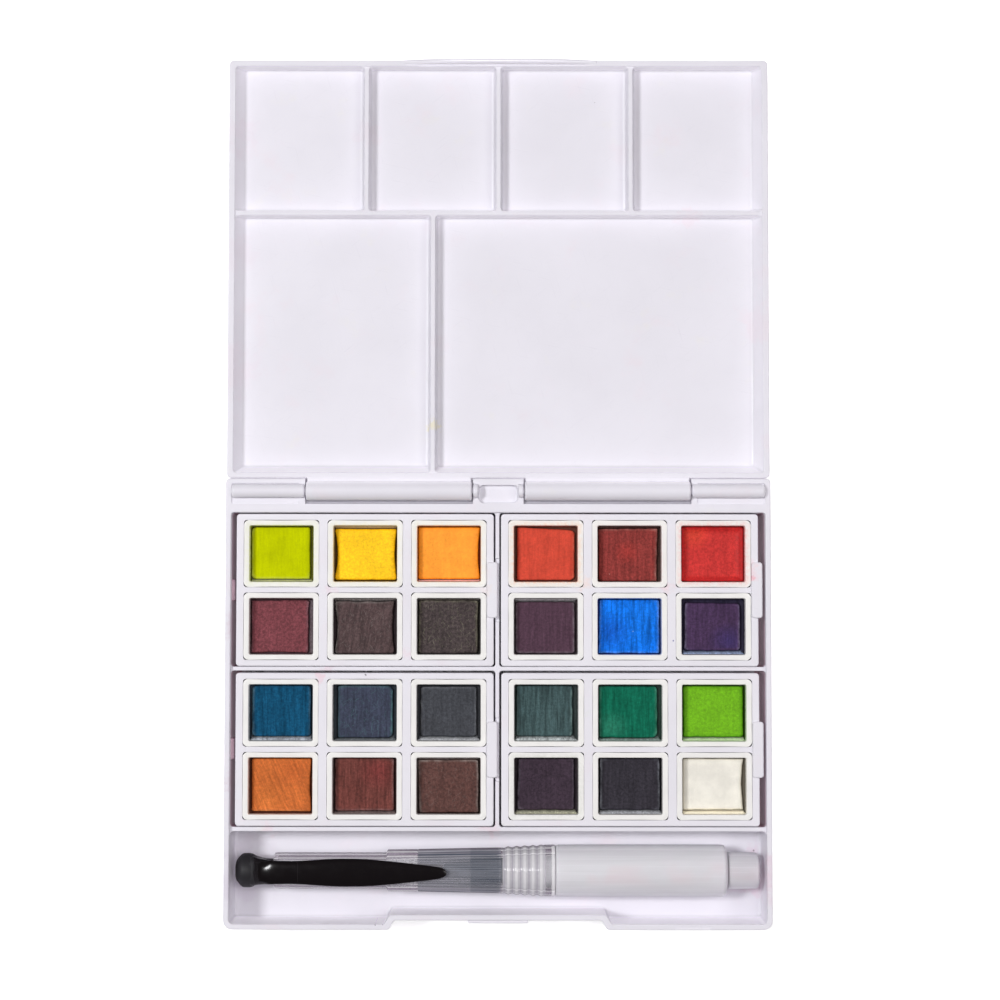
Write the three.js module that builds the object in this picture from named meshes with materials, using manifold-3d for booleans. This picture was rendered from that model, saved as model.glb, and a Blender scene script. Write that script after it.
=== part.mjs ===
// Watercolour pan set: a flat plastic travel box, standing open. The base holds four lift-out
// trays of six half pans and a long trough with a water brush. The hinged lid is a palette.
//
// Millimetres. X runs to the right, Y to the back and Z up, from the centre of the base's
// underside. The lid is drawn open flat, so its mixing wells face up.

import * as THREE from "three";
import { mergeVertices } from "three/addons/utils/BufferGeometryUtils.js";
import Module from "manifold-3d";

const wasm = await Module();
wasm.setup();

// Driving dimensions: the case
const GAP = 0.3; // clearance between two pieces
const CASE_WIDTH = 142.4;
const CASE_DEPTH = 117.1;
const CASE_HEIGHT = 16;
const CASE_WALL = 1.4;
const CASE_FLOOR = 1.5;
const CASE_FRONT_RADIUS = 2.3;
const CASE_REAR_RADIUS = 1;
const FINGER_RECESS = { halfWidth: 27.6, depth: 2.4, slope: 0.7 };
const LATCH_NIB = { width: 15.8, reach: 0.85, low: 13.2, high: 15 };
const DIVIDER = 1.05; // thickness of the ribs between trays
const DIVIDER_TOP = 14.6;
const WALL_SPACER = { reach: 0.8, width: 5.6, top: 13 };

// Driving dimensions: the hinge
const HINGE_INSET = 3.3; // hinge axis to the base's rear face
const HINGE_RISE = 0.15; // hinge axis above the base's rim
const BARREL = { radius: 2.55, inner: 6.9, outer: 50.2, socketRadius: 1.3, socketDepth: 3.5 };
const PIN = { radius: 1, length: 3 };
const CHEEK_RADIUS = 1.85;
const HINGE_CHANNEL_RADIUS = 3.4;
const SCOOP = { floor: 14.2, back: 1.6, front: 0.2 };
const EAR_WIDTH = 1.4;
const WEB = { below: 2.1, top: 0.1, overlap: 0.5 };

// Driving dimensions: the lid
const LID_WIDTH = 142;
const LID_REACH = 113.9; // hinge axis to the lid's far edge
const LID_REAR = 3.6; // hinge axis to the lid's rear face
const LID_HEIGHT = 6.4;
const LID_WALL = 1.35;
const LID_FLOOR = 1.4;
const LID_RADIUS = 1;
const RIB_DROP = 0.5; // rib tops below the lid's rim
const RIB = 1.15;
const CROSS_RIB_Y = 128.55;
const UPPER_RIB_PITCH = 34.8;
const LOWER_RIB_X = -17.2;
const WELL_SLOPE = { wall: 2, rib: 0.6, near: 1.6, far: 0.3, corner: 0.8 };
const LID_SKIRT = { halfWidth: 26, rise: 2, thickness: 1.2, bow: 0.15 };

// Driving dimensions: trays, pans and paint
const TRAY = { width: 67.3, depth: 39.8, height: 13.1, radius: 0.8 };
const TRAY_TAB = { width: 14.6, inward: 1.85, outward: 1, below: 0.6, above: 0.8, radius: 0.7 };
const PAN = { width: 19.1, depth: 17, height: 10.5, wall: 1.15, floor: 1.1, radius: 1.2 };
const PAN_DRAFT = 0.25;
const PAN_PITCH = { x: 21.9, y: 19 };
const CAKE = { width: 15.4, depth: 13.5, height: 6.3, radius: 1, dish: 0.5, rim: 1.8 };
const CORNER_STEPS = 3;

// Driving dimensions: the water brush, along X, measured from the middle of the case
const BRUSH_Y = -44;
const BRUSH_RADIUS = 6.75;
const BRUSH_SIDES = 24;
const BRUSH_WALL = 0.95;

// Places worked out from the dimensions above
const HALF_WIDTH = CASE_WIDTH / 2;
const HALF_DEPTH = CASE_DEPTH / 2;
const INNER_X = HALF_WIDTH - CASE_WALL;
const HINGE_Y = HALF_DEPTH - HINGE_INSET;
const HINGE_Z = CASE_HEIGHT + HINGE_RISE;
const CHANNEL_FRONT = HINGE_Y - HINGE_CHANNEL_RADIUS;
const BAY_REAR = 49.6;
const BAY_MIDDLE = 8.87;
const BAY_FRONT = -32.2;
const DIVIDER_X = -0.22;
const TROUGH_REAR = BAY_FRONT - DIVIDER;
const BRUSH_Z = CASE_FLOOR + GAP + BRUSH_RADIUS;
const TRAY_BOTTOM = CASE_FLOOR + GAP;
const TRAY_TOP = TRAY_BOTTOM + TRAY.height;
const PAN_BOTTOM = TRAY_TOP - 0.1 - PAN.height;
const REAR_ROW_Y = 29.4;
const FRONT_ROW_Y = -12.1;

const TRAYS = [
  {
    name: "rear_left",
    x: -34.8,
    y: REAR_ROW_Y,
    paints: ["lime", "yellow", "orange", "plum", "dark_brown", "olive_black"],
  },
  {
    name: "rear_right",
    x: 34.35,
    y: REAR_ROW_Y,
    paints: ["vermilion", "brick", "crimson", "purple_brown", "blue", "violet"],
  },
  {
    name: "front_left",
    x: -34.8,
    y: FRONT_ROW_Y,
    paints: ["teal", "blue_grey", "charcoal", "burnt_orange", "red_brown", "brown"],
  },
  {
    name: "front_right",
    x: 34.45,
    y: FRONT_ROW_Y,
    paints: ["green_grey", "emerald", "leaf_green", "purple_black", "ink_black", "cream_white"],
  },
];

const PAINT_COLOURS = {
  lime: 0xc5d200,
  yellow: 0xffd41f,
  orange: 0xffa33c,
  plum: 0x74424b,
  dark_brown: 0x4b3f42,
  olive_black: 0x403d3b,
  vermilion: 0xd2472f,
  brick: 0x8a3833,
  crimson: 0xcb2b2d,
  purple_brown: 0x4c3a44,
  blue: 0x1d5fd0,
  violet: 0x3c2d55,
  teal: 0x1e5a80,
  blue_grey: 0x33424f,
  charcoal: 0x3c3f44,
  burnt_orange: 0xc5652c,
  red_brown: 0x6b3638,
  brown: 0x55413c,
  green_grey: 0x33504f,
  emerald: 0x1c7358,
  leaf_green: 0x5fa51a,
  purple_black: 0x3b2e3a,
  ink_black: 0x2f2d33,
  cream_white: 0xedeadd,
};

// Solids and booleans

// A manifold solid from any closed three.js geometry.
function solidOf(geometry) {
  const bare = geometry.clone();
  bare.deleteAttribute("normal");
  bare.deleteAttribute("uv");
  const merged = mergeVertices(bare, 1e-4);
  const corners = merged.index.array;
  const triangles = [];
  for (let i = 0; i < corners.length; i += 3) {
    const [a, b, c] = [corners[i], corners[i + 1], corners[i + 2]];
    if (a !== b && b !== c && c !== a) {
      triangles.push(a, b, c);
    }
  }
  return new wasm.Manifold(
    new wasm.Mesh({
      numProp: 3,
      vertProperties: new Float32Array(merged.attributes.position.array),
      triVerts: new Uint32Array(triangles),
    }),
  );
}

function geometryOf(solid) {
  const mesh = solid.getMesh();
  const geometry = new THREE.BufferGeometry();
  const positions = new Float32Array(mesh.vertProperties);
  geometry.setAttribute("position", new THREE.BufferAttribute(positions, 3));
  geometry.setIndex(new THREE.BufferAttribute(new Uint32Array(mesh.triVerts), 1));
  geometry.computeVertexNormals();
  return geometry;
}

function joined(solids) {
  return solids.reduce((whole, piece) => whole.add(piece));
}

function cut(solid, tools) {
  return tools.reduce((rest, tool) => rest.subtract(tool), solid);
}

function block(x0, x1, y0, y1, z0, z1) {
  const box = new THREE.BoxGeometry(x1 - x0, y1 - y0, z1 - z0);
  box.translate((x0 + x1) / 2, (y0 + y1) / 2, (z0 + z1) / 2);
  return solidOf(box);
}

function extruded(shape, z0, z1) {
  const options = { depth: z1 - z0, bevelEnabled: false, curveSegments: CORNER_STEPS };
  const geometry = new THREE.ExtrudeGeometry(shape, options);
  geometry.translate(0, 0, z0);
  return solidOf(geometry);
}

// A closed solid through convex rings of equal point counts, each turning anticlockwise
// when seen from the side that the rings advance towards.
function skinned(rings) {
  const count = rings[0].length;
  const positions = rings.flat().flatMap((point) => [point.x, point.y, point.z]);
  const index = [];
  for (let level = 0; level < rings.length - 1; level += 1) {
    for (let i = 0; i < count; i += 1) {
      const a = level * count + i;
      const b = level * count + ((i + 1) % count);
      index.push(a, b, b + count, a, b + count, a + count);
    }
  }
  const last = (rings.length - 1) * count;
  for (let i = 1; i < count - 1; i += 1) {
    index.push(0, i + 1, i);
    index.push(last, last + i, last + i + 1);
  }
  const geometry = new THREE.BufferGeometry();
  geometry.setAttribute("position", new THREE.Float32BufferAttribute(positions, 3));
  geometry.setIndex(index);
  return solidOf(geometry);
}

// A rectangle with round corners at height z, anticlockwise from its front right corner.
function roundedRing(x0, x1, y0, y1, radius, z) {
  const corners = [
    { x: x1 - radius, y: y0 + radius, start: -Math.PI / 2 },
    { x: x1 - radius, y: y1 - radius, start: 0 },
    { x: x0 + radius, y: y1 - radius, start: Math.PI / 2 },
    { x: x0 + radius, y: y0 + radius, start: Math.PI },
  ];
  const ring = [];
  for (const corner of corners) {
    for (let step = 0; step < CORNER_STEPS; step += 1) {
      const angle = corner.start + (step / (CORNER_STEPS - 1)) * (Math.PI / 2);
      const x = corner.x + radius * Math.cos(angle);
      const y = corner.y + radius * Math.sin(angle);
      ring.push(new THREE.Vector3(x, y, z));
    }
  }
  return ring;
}

function centredRing(width, depth, radius, z) {
  return roundedRing(-width / 2, width / 2, -depth / 2, depth / 2, radius, z);
}

// A round bar along X, centred on the given Y and Z.
function barAlongX(radius, x0, x1, y, z) {
  const bar = new THREE.CylinderGeometry(radius, radius, x1 - x0, BRUSH_SIDES);
  bar.rotateZ(-Math.PI / 2);
  bar.translate((x0 + x1) / 2, y, z);
  return solidOf(bar);
}

// A body of revolution about X. The profile is a list of [x, radius] pairs, and it starts
// and ends on the axis or closes on itself.
function turned(profile) {
  const points = profile.map(([x, radius]) => new THREE.Vector2(radius, x));
  const geometry = new THREE.LatheGeometry(points, BRUSH_SIDES);
  geometry.rotateZ(-Math.PI / 2);
  return solidOf(geometry);
}

function part(name, geometry, colour, roughness) {
  const material = new THREE.MeshStandardMaterial({ color: colour, roughness, metalness: 0 });
  const mesh = new THREE.Mesh(geometry, material);
  mesh.name = name;
  return mesh;
}

// Case base

// The outline of the case seen from above, drawn `inset` inside the outer face. The front
// edge steps back in the middle, where a finger reaches the lid.
function caseOutline(inset) {
  const right = HALF_WIDTH - inset;
  const back = HALF_DEPTH - inset;
  const front = -HALF_DEPTH + inset;
  const recessFront = front + FINGER_RECESS.depth;
  const recessOuter = FINGER_RECESS.halfWidth + FINGER_RECESS.slope + inset;
  const recessInner = FINGER_RECESS.halfWidth - FINGER_RECESS.slope + inset;
  const frontRadius = CASE_FRONT_RADIUS - inset * 0.6;
  const rearRadius = Math.max(CASE_REAR_RADIUS - inset, 0.3);
  const outline = new THREE.Shape();
  outline.moveTo(-right + frontRadius, front);
  outline.lineTo(-recessOuter, front);
  outline.lineTo(-recessInner, recessFront);
  outline.lineTo(recessInner, recessFront);
  outline.lineTo(recessOuter, front);
  outline.lineTo(right - frontRadius, front);
  outline.absarc(right - frontRadius, front + frontRadius, frontRadius, -Math.PI / 2, 0, false);
  outline.lineTo(right, back - rearRadius);
  outline.absarc(right - rearRadius, back - rearRadius, rearRadius, 0, Math.PI / 2, false);
  outline.lineTo(-right + rearRadius, back);
  outline.absarc(-right + rearRadius, back - rearRadius, rearRadius, Math.PI / 2, Math.PI, false);
  outline.lineTo(-right, front + frontRadius);
  outline.absarc(-right + frontRadius, front + frontRadius, frontRadius, Math.PI, 1.5 * Math.PI, false);
  return outline;
}

// The four tray bays, the lowered ribs between them and the brush trough.
function caseHollows() {
  const above = CASE_HEIGHT + 1;
  const leftBay = [-INNER_X, DIVIDER_X - DIVIDER / 2];
  const rightBay = [DIVIDER_X + DIVIDER / 2, INNER_X];
  const rearBay = [BAY_MIDDLE + DIVIDER / 2, BAY_REAR];
  const frontBay = [BAY_FRONT, BAY_MIDDLE - DIVIDER / 2];
  const hollows = [];
  for (const [x0, x1] of [leftBay, rightBay]) {
    for (const [y0, y1] of [rearBay, frontBay]) {
      hollows.push(block(x0, x1, y0, y1, CASE_FLOOR, above));
    }
  }
  hollows.push(block(-INNER_X, INNER_X, TROUGH_REAR, BAY_REAR, DIVIDER_TOP, above));
  const inside = extruded(caseOutline(CASE_WALL), CASE_FLOOR, above);
  const troughSpace = block(-HALF_WIDTH, HALF_WIDTH, -HALF_DEPTH, TROUGH_REAR, CASE_FLOOR, above);
  hollows.push(inside.intersect(troughSpace));
  return hollows;
}

// Room for the lid's barrels, and the scoop between them.
function hingeChannels() {
  const inner = BARREL.inner - GAP;
  const outer = BARREL.outer + GAP;
  const low = HINGE_Z - HINGE_CHANNEL_RADIUS;
  const high = HINGE_Z + HINGE_CHANNEL_RADIUS;
  const scoopEnd = inner - EAR_WIDTH;
  const scoopFront = CHANNEL_FRONT + SCOOP.front;
  const cuts = [block(-scoopEnd, scoopEnd, scoopFront, HINGE_Y + SCOOP.back, SCOOP.floor, high)];
  for (const [x0, x1] of [[-outer, -inner], [inner, outer]]) {
    cuts.push(barAlongX(HINGE_CHANNEL_RADIUS, x0, x1, HINGE_Y, HINGE_Z));
    cuts.push(block(x0, x1, HINGE_Y, HALF_DEPTH + 1, low, high));
  }
  return cuts;
}

// Round cheeks at both ends of each barrel, with the pins moulded on.
function hingeCheeks() {
  const inner = BARREL.inner - GAP;
  const outer = BARREL.outer + GAP;
  const cheekEnd = INNER_X - 0.2;
  const cheeks = [];
  for (const side of [-1, 1]) {
    const spans = [[outer, cheekEnd], [inner - EAR_WIDTH, inner]];
    for (const [from, to] of spans) {
      const x0 = Math.min(side * from, side * to);
      const x1 = Math.max(side * from, side * to);
      cheeks.push(barAlongX(CHEEK_RADIUS, x0, x1, HINGE_Y, HINGE_Z));
    }
    for (const [root, tip] of [[outer + 1, outer - PIN.length], [inner - 1, inner + PIN.length]]) {
      const x0 = Math.min(side * root, side * tip);
      const x1 = Math.max(side * root, side * tip);
      cheeks.push(barAlongX(PIN.radius, x0, x1, HINGE_Y, HINGE_Z));
    }
  }
  return cheeks;
}

function caseBase() {
  const shell = extruded(caseOutline(0), 0, CASE_HEIGHT);
  const tabNotch = TRAY_TAB.width / 2 + 1;
  const cuts = [...caseHollows(), ...hingeChannels()];
  for (const y of [REAR_ROW_Y, FRONT_ROW_Y]) {
    cuts.push(block(-2, 2, y - tabNotch, y + tabNotch, 13.4, CASE_HEIGHT));
  }
  const additions = [...hingeCheeks()];
  const nibBack = -HALF_DEPTH + FINGER_RECESS.depth;
  const nibSide = LATCH_NIB.width / 2;
  additions.push(
    block(-nibSide, nibSide, nibBack - LATCH_NIB.reach, nibBack + 0.5, LATCH_NIB.low, LATCH_NIB.high),
  );
  for (const y of [REAR_ROW_Y, FRONT_ROW_Y]) {
    const half = WALL_SPACER.width / 2;
    additions.push(
      block(-INNER_X - 0.5, -INNER_X + WALL_SPACER.reach, y - half, y + half, 1, WALL_SPACER.top),
    );
  }
  return joined([cut(shell, cuts), ...additions]);
}

// Palette lid

// One mixing well: a rectangle at rib height whose sides slope in by the given amounts.
function well(x0, x1, y0, y1, slope) {
  const floor = CASE_HEIGHT - LID_HEIGHT + LID_FLOOR;
  const top = CASE_HEIGHT - RIB_DROP;
  const above = CASE_HEIGHT + 1;
  const inner = [x0 + slope.left, x1 - slope.right, y0 + slope.near, y1 - slope.far];
  return skinned([
    roundedRing(...inner, WELL_SLOPE.corner, floor),
    roundedRing(x0, x1, y0, y1, WELL_SLOPE.corner, top),
    roundedRing(x0, x1, y0, y1, WELL_SLOPE.corner, above),
  ]);
}

function mixingWells() {
  const side = LID_WIDTH / 2 - LID_WALL;
  const near = HINGE_Y + LID_REAR + LID_WALL;
  const far = HINGE_Y + LID_REACH - LID_WALL;
  const wallSlope = WELL_SLOPE.wall;
  const ribSlope = WELL_SLOPE.rib;
  const upperFront = CROSS_RIB_Y + RIB / 2;
  const wells = [];
  const edges = [-side, -UPPER_RIB_PITCH, 0, UPPER_RIB_PITCH, side];
  for (let i = 0; i < edges.length - 1; i += 1) {
    const x0 = i === 0 ? edges[i] : edges[i] + RIB / 2;
    const x1 = i === edges.length - 2 ? edges[i + 1] : edges[i + 1] - RIB / 2;
    const left = i === 0 ? wallSlope : ribSlope;
    const right = i === edges.length - 2 ? wallSlope : ribSlope;
    wells.push(well(x0, x1, upperFront, far, { left, right, near: ribSlope, far: WELL_SLOPE.far }));
  }
  const slopes = { near: WELL_SLOPE.near, far: ribSlope };
  const lowerEnd = CROSS_RIB_Y - RIB / 2;
  const leftSlopes = { ...slopes, left: wallSlope, right: ribSlope };
  const rightSlopes = { ...slopes, left: ribSlope, right: wallSlope };
  wells.push(well(-side, LOWER_RIB_X - RIB / 2, near, lowerEnd, leftSlopes));
  wells.push(well(LOWER_RIB_X + RIB / 2, side, near, lowerEnd, rightSlopes));
  return wells;
}

// The bowed strip along the lid's far edge that reaches down over the base's finger recess.
function latchSkirt() {
  const { halfWidth, rise, thickness, bow } = LID_SKIRT;
  const edge = HINGE_Y + LID_REACH;
  const outline = new THREE.Shape();
  outline.moveTo(-halfWidth, edge);
  outline.lineTo(-halfWidth, edge - thickness);
  outline.quadraticCurveTo(0, edge - thickness + 2 * bow, halfWidth, edge - thickness);
  outline.lineTo(halfWidth, edge);
  outline.quadraticCurveTo(0, edge + 2 * bow, -halfWidth, edge);
  return extruded(outline, CASE_HEIGHT - 1, CASE_HEIGHT + rise);
}

function hingeBarrels() {
  const webLow = HINGE_Z - WEB.below;
  const webHigh = CASE_HEIGHT - WEB.top;
  const lidInside = HINGE_Y + LID_REAR + WEB.overlap;
  const barrels = [];
  for (const side of [-1, 1]) {
    const x0 = Math.min(side * BARREL.inner, side * BARREL.outer);
    const x1 = Math.max(side * BARREL.inner, side * BARREL.outer);
    const barrel = barAlongX(BARREL.radius, x0, x1, HINGE_Y, HINGE_Z);
    const web = block(x0, x1, HINGE_Y, lidInside, webLow, webHigh);
    const sockets = [];
    for (const [from, to] of [[x0 - 1, x0 + BARREL.socketDepth], [x1 - BARREL.socketDepth, x1 + 1]]) {
      sockets.push(barAlongX(BARREL.socketRadius, from, to, HINGE_Y, HINGE_Z));
    }
    barrels.push(cut(barrel.add(web), sockets));
  }
  return barrels;
}

function paletteLid() {
  const side = LID_WIDTH / 2;
  const near = HINGE_Y + LID_REAR;
  const far = HINGE_Y + LID_REACH;
  const under = CASE_HEIGHT - LID_HEIGHT;
  const edge = 0.6;
  const shell = skinned([
    roundedRing(-side + edge, side - edge, near + edge, far - edge, LID_RADIUS, under),
    roundedRing(-side, side, near, far, LID_RADIUS, under + edge),
    roundedRing(-side, side, near, far, LID_RADIUS, CASE_HEIGHT),
  ]);
  const inside = [-side + LID_WALL, side - LID_WALL, near + LID_WALL, far - LID_WALL];
  const ribRoom = block(...inside, CASE_HEIGHT - RIB_DROP, CASE_HEIGHT + 1);
  const open = cut(shell, [ribRoom, ...mixingWells()]);
  return joined([open, latchSkirt(), ...hingeBarrels()]);
}

// Trays, pans and paint, each drawn about its own middle and standing on its own underside

function panPlaces() {
  const places = [];
  for (const row of [0.5, -0.5]) {
    for (const column of [-1, 0, 1]) {
      places.push({ x: column * PAN_PITCH.x, y: row * PAN_PITCH.y });
    }
  }
  return places;
}

function trayGeometry() {
  const { width, depth, height, radius } = TRAY;
  const body = skinned([
    centredRing(width - 0.6, depth - 0.6, radius, 0),
    centredRing(width, depth, radius, height * 0.5),
    centredRing(width, depth, radius, height),
  ]);
  const pocketFloor = PAN_BOTTOM - GAP - TRAY_BOTTOM;
  const pockets = panPlaces().map((place) =>
    skinned([
      centredRing(PAN.width + 2 * GAP - PAN_DRAFT, PAN.depth + 2 * GAP - PAN_DRAFT, 0.8, pocketFloor),
      centredRing(PAN.width + 2 * GAP, PAN.depth + 2 * GAP, 0.8, height + 1),
    ]).translate([place.x, place.y, 0]),
  );
  const right = width / 2;
  const tabSide = TRAY_TAB.width / 2;
  const tabPlan = [right - TRAY_TAB.inward, right + TRAY_TAB.outward, -tabSide, tabSide, TRAY_TAB.radius];
  const tab = skinned([
    roundedRing(...tabPlan, height - TRAY_TAB.below),
    roundedRing(...tabPlan, height + TRAY_TAB.above),
  ]);
  return geometryOf(cut(body, pockets).add(tab));
}

function panGeometry() {
  const { width, depth, height, wall, floor, radius } = PAN;
  const cup = skinned([
    centredRing(width - 2 * PAN_DRAFT, depth - 2 * PAN_DRAFT, radius, 0),
    centredRing(width, depth, radius, height),
  ]);
  const inside = skinned([
    centredRing(width - 2 * wall - PAN_DRAFT, depth - 2 * wall - PAN_DRAFT, 0.6, floor),
    centredRing(width - 2 * wall, depth - 2 * wall, 0.6, height + 1),
  ]);
  return geometryOf(cup.subtract(inside));
}

function cakeGeometry() {
  const { width, depth, height, radius, dish, rim } = CAKE;
  return geometryOf(
    skinned([
      centredRing(width - PAN_DRAFT, depth - PAN_DRAFT, radius, 0),
      centredRing(width, depth, radius, height),
      centredRing(width - rim, depth - rim, radius * 0.6, height),
      centredRing(width - 2.5 * rim, depth - 2.5 * rim, radius * 0.6, height - dish),
    ]),
  );
}

// Water brush

// The black end cap and pocket clip: a turned knob and spigot, and a blade over the cap.
function clipCap() {
  const knob = turned([
    [-68.7, 0],
    [-68.5, 2.4],
    [-67.6, 3.9],
    [-66.2, 4.45],
    [-64.2, 4.3],
    [-63.2, 3.3],
    [-58.9, 3.25],
    [-58.9, 2.5],
    [-54.5, 2.5],
    [-54.5, 0],
  ]);
  // Each station of the blade: x, half width, underside and top above the brush's axis.
  const stations = [
    [-63.1, 2.3, 1, 3.4],
    [-60.6, 2.8, 2.5, 5.6],
    [-59.2, 3.1, 5.05, 6.4],
    [-46, 3.5, 5.05, 6.95],
    [-36, 3.6, 5.1, 7.2],
    [-30, 3.2, 6, 7.3],
    [-20, 2.1, 6.25, 7.35],
    [-14.6, 1.5, 6.25, 7.2],
    [-13.6, 0.9, 6.35, 6.9],
  ];
  const rings = stations.map(([x, half, low, high]) => {
    const shoulder = half * 0.55;
    const waist = low + (high - low) * 0.45;
    const right = [[half, low], [half, waist], [shoulder, high]];
    const left = [[-shoulder, high], [-half, waist], [-half, low]];
    const outline = [...right, ...left];
    return outline.map(([y, z]) => new THREE.Vector3(x, y, z));
  });
  return knob.add(skinned(rings));
}

// The clear cap: a tube that widens in steps, with ring grooves near its mouth.
function clearCap() {
  const steps = [[-58.6, 4.3], [-57.6, 4.7], [-29.2, 4.7], [-28.9, 5.45], [-21, 5.5], [0.4, 5.95]];
  const grooves = [];
  for (let ring = 0; ring < 5; ring += 1) {
    const x = 1.6 + ring * 2.15;
    const radius = 6.05 + ring * 0.14;
    grooves.push([x - 0.35, radius], [x, radius - 0.3], [x + 0.35, radius + 0.05]);
  }
  const mouth = [[14.7, 6.75], [14.7, 6.75 - BRUSH_WALL]];
  const bore = [[0.4, 5], [-21, 4.6], [-29.4, 3.9], [-57.6, 3.8], [-57.6, 2.8], [-58.6, 2.8]];
  const profile = [...steps, ...grooves, ...mouth, ...bore, steps[0]];
  return turned(profile);
}

// The reservoir: a tube open at both ends, with a threaded neck on the left.
function barrel() {
  const neck = [[2.4, 4.4], [15, 4.4], [15.3, 6.3]];
  const body = [[15.8, BRUSH_RADIUS], [57.6, BRUSH_RADIUS], [59.4, 6.1], [60.1, 4.9]];
  const bore = [[60.1, 4.3], [57, 4.4], [55.5, 5.75], [17, 5.75], [15.5, 3.4], [2.4, 3.4]];
  return turned([...neck, ...body, ...bore, neck[0]]);
}

function endPlug() {
  return turned([
    [54, 0],
    [54, 3.9],
    [60.4, 3.9],
    [60.4, 4.85],
    [67.4, 4.7],
    [68.3, 4.2],
    [68.5, 3.5],
    [68.5, 0],
  ]);
}

// The front section that holds the tuft: a stepped nose and a spigot in the barrel's neck.
function nozzle() {
  return turned([
    [-14.2, 0],
    [-14.2, 1.7],
    [-7.4, 2.2],
    [-7, 3.1],
    [1.4, 3.4],
    [2.1, 3.4],
    [2.1, 3.1],
    [12, 3.1],
    [12, 0],
  ]);
}

function bristles() {
  return turned([
    [-34, 0],
    [-31.5, 0.8],
    [-26, 1.7],
    [-20, 1.8],
    [-14.5, 1.45],
    [-14.5, 0],
  ]);
}

const BRUSH_PIECES = [
  { name: "brush_clip_cap", build: clipCap, colour: 0x1c1b1d, roughness: 0.25 },
  { name: "brush_clear_cap", build: clearCap, colour: 0xe6e5ea, roughness: 0.15 },
  { name: "brush_bristles", build: bristles, colour: 0x6f5648, roughness: 0.7 },
  { name: "brush_nozzle", build: nozzle, colour: 0x4a4d5a, roughness: 0.35 },
  { name: "brush_barrel", build: barrel, colour: 0xe9e8ec, roughness: 0.4 },
  { name: "brush_end_plug", build: endPlug, colour: 0xeceaf0, roughness: 0.4 },
];

// Assembly

function brushGroup() {
  const group = new THREE.Group();
  for (const { name, build, colour, roughness } of BRUSH_PIECES) {
    group.add(part(name, geometryOf(build()), colour, roughness));
  }
  group.position.set(0, BRUSH_Y, BRUSH_Z);
  return group;
}

function trayGroup({ name, x, y, paints }, shapes) {
  const group = new THREE.Group();
  group.position.set(x, y, TRAY_BOTTOM);
  group.add(part(`tray_${name}`, shapes.tray, 0xedecf1, 0.45));
  panPlaces().forEach((place, index) => {
    const paint = paints[index];
    const pan = part(`pan_${paint}`, shapes.pan, 0xf6f5ee, 0.4);
    pan.position.set(place.x, place.y, PAN_BOTTOM - TRAY_BOTTOM);
    const cake = part(`paint_${paint}`, shapes.cake, PAINT_COLOURS[paint], 0.85);
    cake.position.set(0, 0, PAN.floor + GAP);
    pan.add(cake);
    group.add(pan);
  });
  return group;
}

function watercolourSet() {
  const set = new THREE.Group();
  set.add(part("case_base", geometryOf(caseBase()), 0xeae8ef, 0.45));
  set.add(part("palette_lid", geometryOf(paletteLid()), 0xeae8ef, 0.4));
  const shapes = { tray: trayGeometry(), pan: panGeometry(), cake: cakeGeometry() };
  for (const tray of TRAYS) {
    set.add(trayGroup(tray, shapes));
  }
  set.add(brushGroup());
  return set;
}

export default watercolourSet();
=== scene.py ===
import math
import random

import bmesh
import bpy
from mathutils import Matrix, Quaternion, Vector, noise


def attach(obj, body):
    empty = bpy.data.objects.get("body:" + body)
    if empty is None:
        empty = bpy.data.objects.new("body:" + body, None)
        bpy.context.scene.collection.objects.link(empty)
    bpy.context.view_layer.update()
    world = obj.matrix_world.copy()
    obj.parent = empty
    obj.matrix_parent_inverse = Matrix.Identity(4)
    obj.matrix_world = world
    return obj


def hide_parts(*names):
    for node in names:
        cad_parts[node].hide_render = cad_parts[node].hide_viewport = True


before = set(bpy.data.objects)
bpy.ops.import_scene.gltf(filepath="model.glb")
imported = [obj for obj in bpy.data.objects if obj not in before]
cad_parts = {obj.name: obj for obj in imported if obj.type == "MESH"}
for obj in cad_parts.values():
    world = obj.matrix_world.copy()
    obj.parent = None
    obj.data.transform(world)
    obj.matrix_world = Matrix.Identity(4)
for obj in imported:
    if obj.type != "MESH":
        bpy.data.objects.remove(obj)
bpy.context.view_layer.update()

# Every length in the geometry below is in millimetres, and becomes metres in shown().
MM = 0.001
SHARP_ANGLE = math.radians(40)

# A cutter's lip ends this far above the face that it rounds, so that the two never coincide.
LIP_LIFT = 0.004

# The case, as packed
HALF_WIDTH = 71.2
HALF_DEPTH = 58.55
RIM = 16.0
WALL = 1.4
FLOOR = 1.5
INNER_X = HALF_WIDTH - WALL
RECESS_OUTER = 28.3
RECESS_INNER = 26.9
RECESS_DEPTH = 2.4
BAY_REAR = 49.6
BAY_FRONT = -32.2
BAY_MIDDLE = 8.87
DIVIDER_X = -0.22
HALF_DIVIDER = 0.525
DIVIDER_TOP = 14.6
TROUGH_REAR = -33.25
HINGE_Y = 55.25
HINGE_Z = 16.15
REAR_ROW, FRONT_ROW = 29.4, -12.1
TRAY_CENTRES = {
    "rear_left": (-34.8, REAR_ROW),
    "rear_right": (34.35, REAR_ROW),
    "front_left": (-34.8, FRONT_ROW),
    "front_right": (34.45, FRONT_ROW),
}
TRAY_BOTTOM = 1.8
TRAY_TOP = 14.9
PAN_BOTTOM = 4.3
PAN_TOP = 14.8
PAN_PITCH = (21.9, 19.0)
OPENING = (8.35, 7.35)
CAKE_BOTTOM = 5.7
CAKE_TOP = 12.0
BRUSH_Y = -44.0
BRUSH_Z = 8.55

# Narrow gaps come out darker than they are coloured, so their colours are lightened.
GAP_GAIN = 1.9
STRIP_GAIN = 2.3


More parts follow.
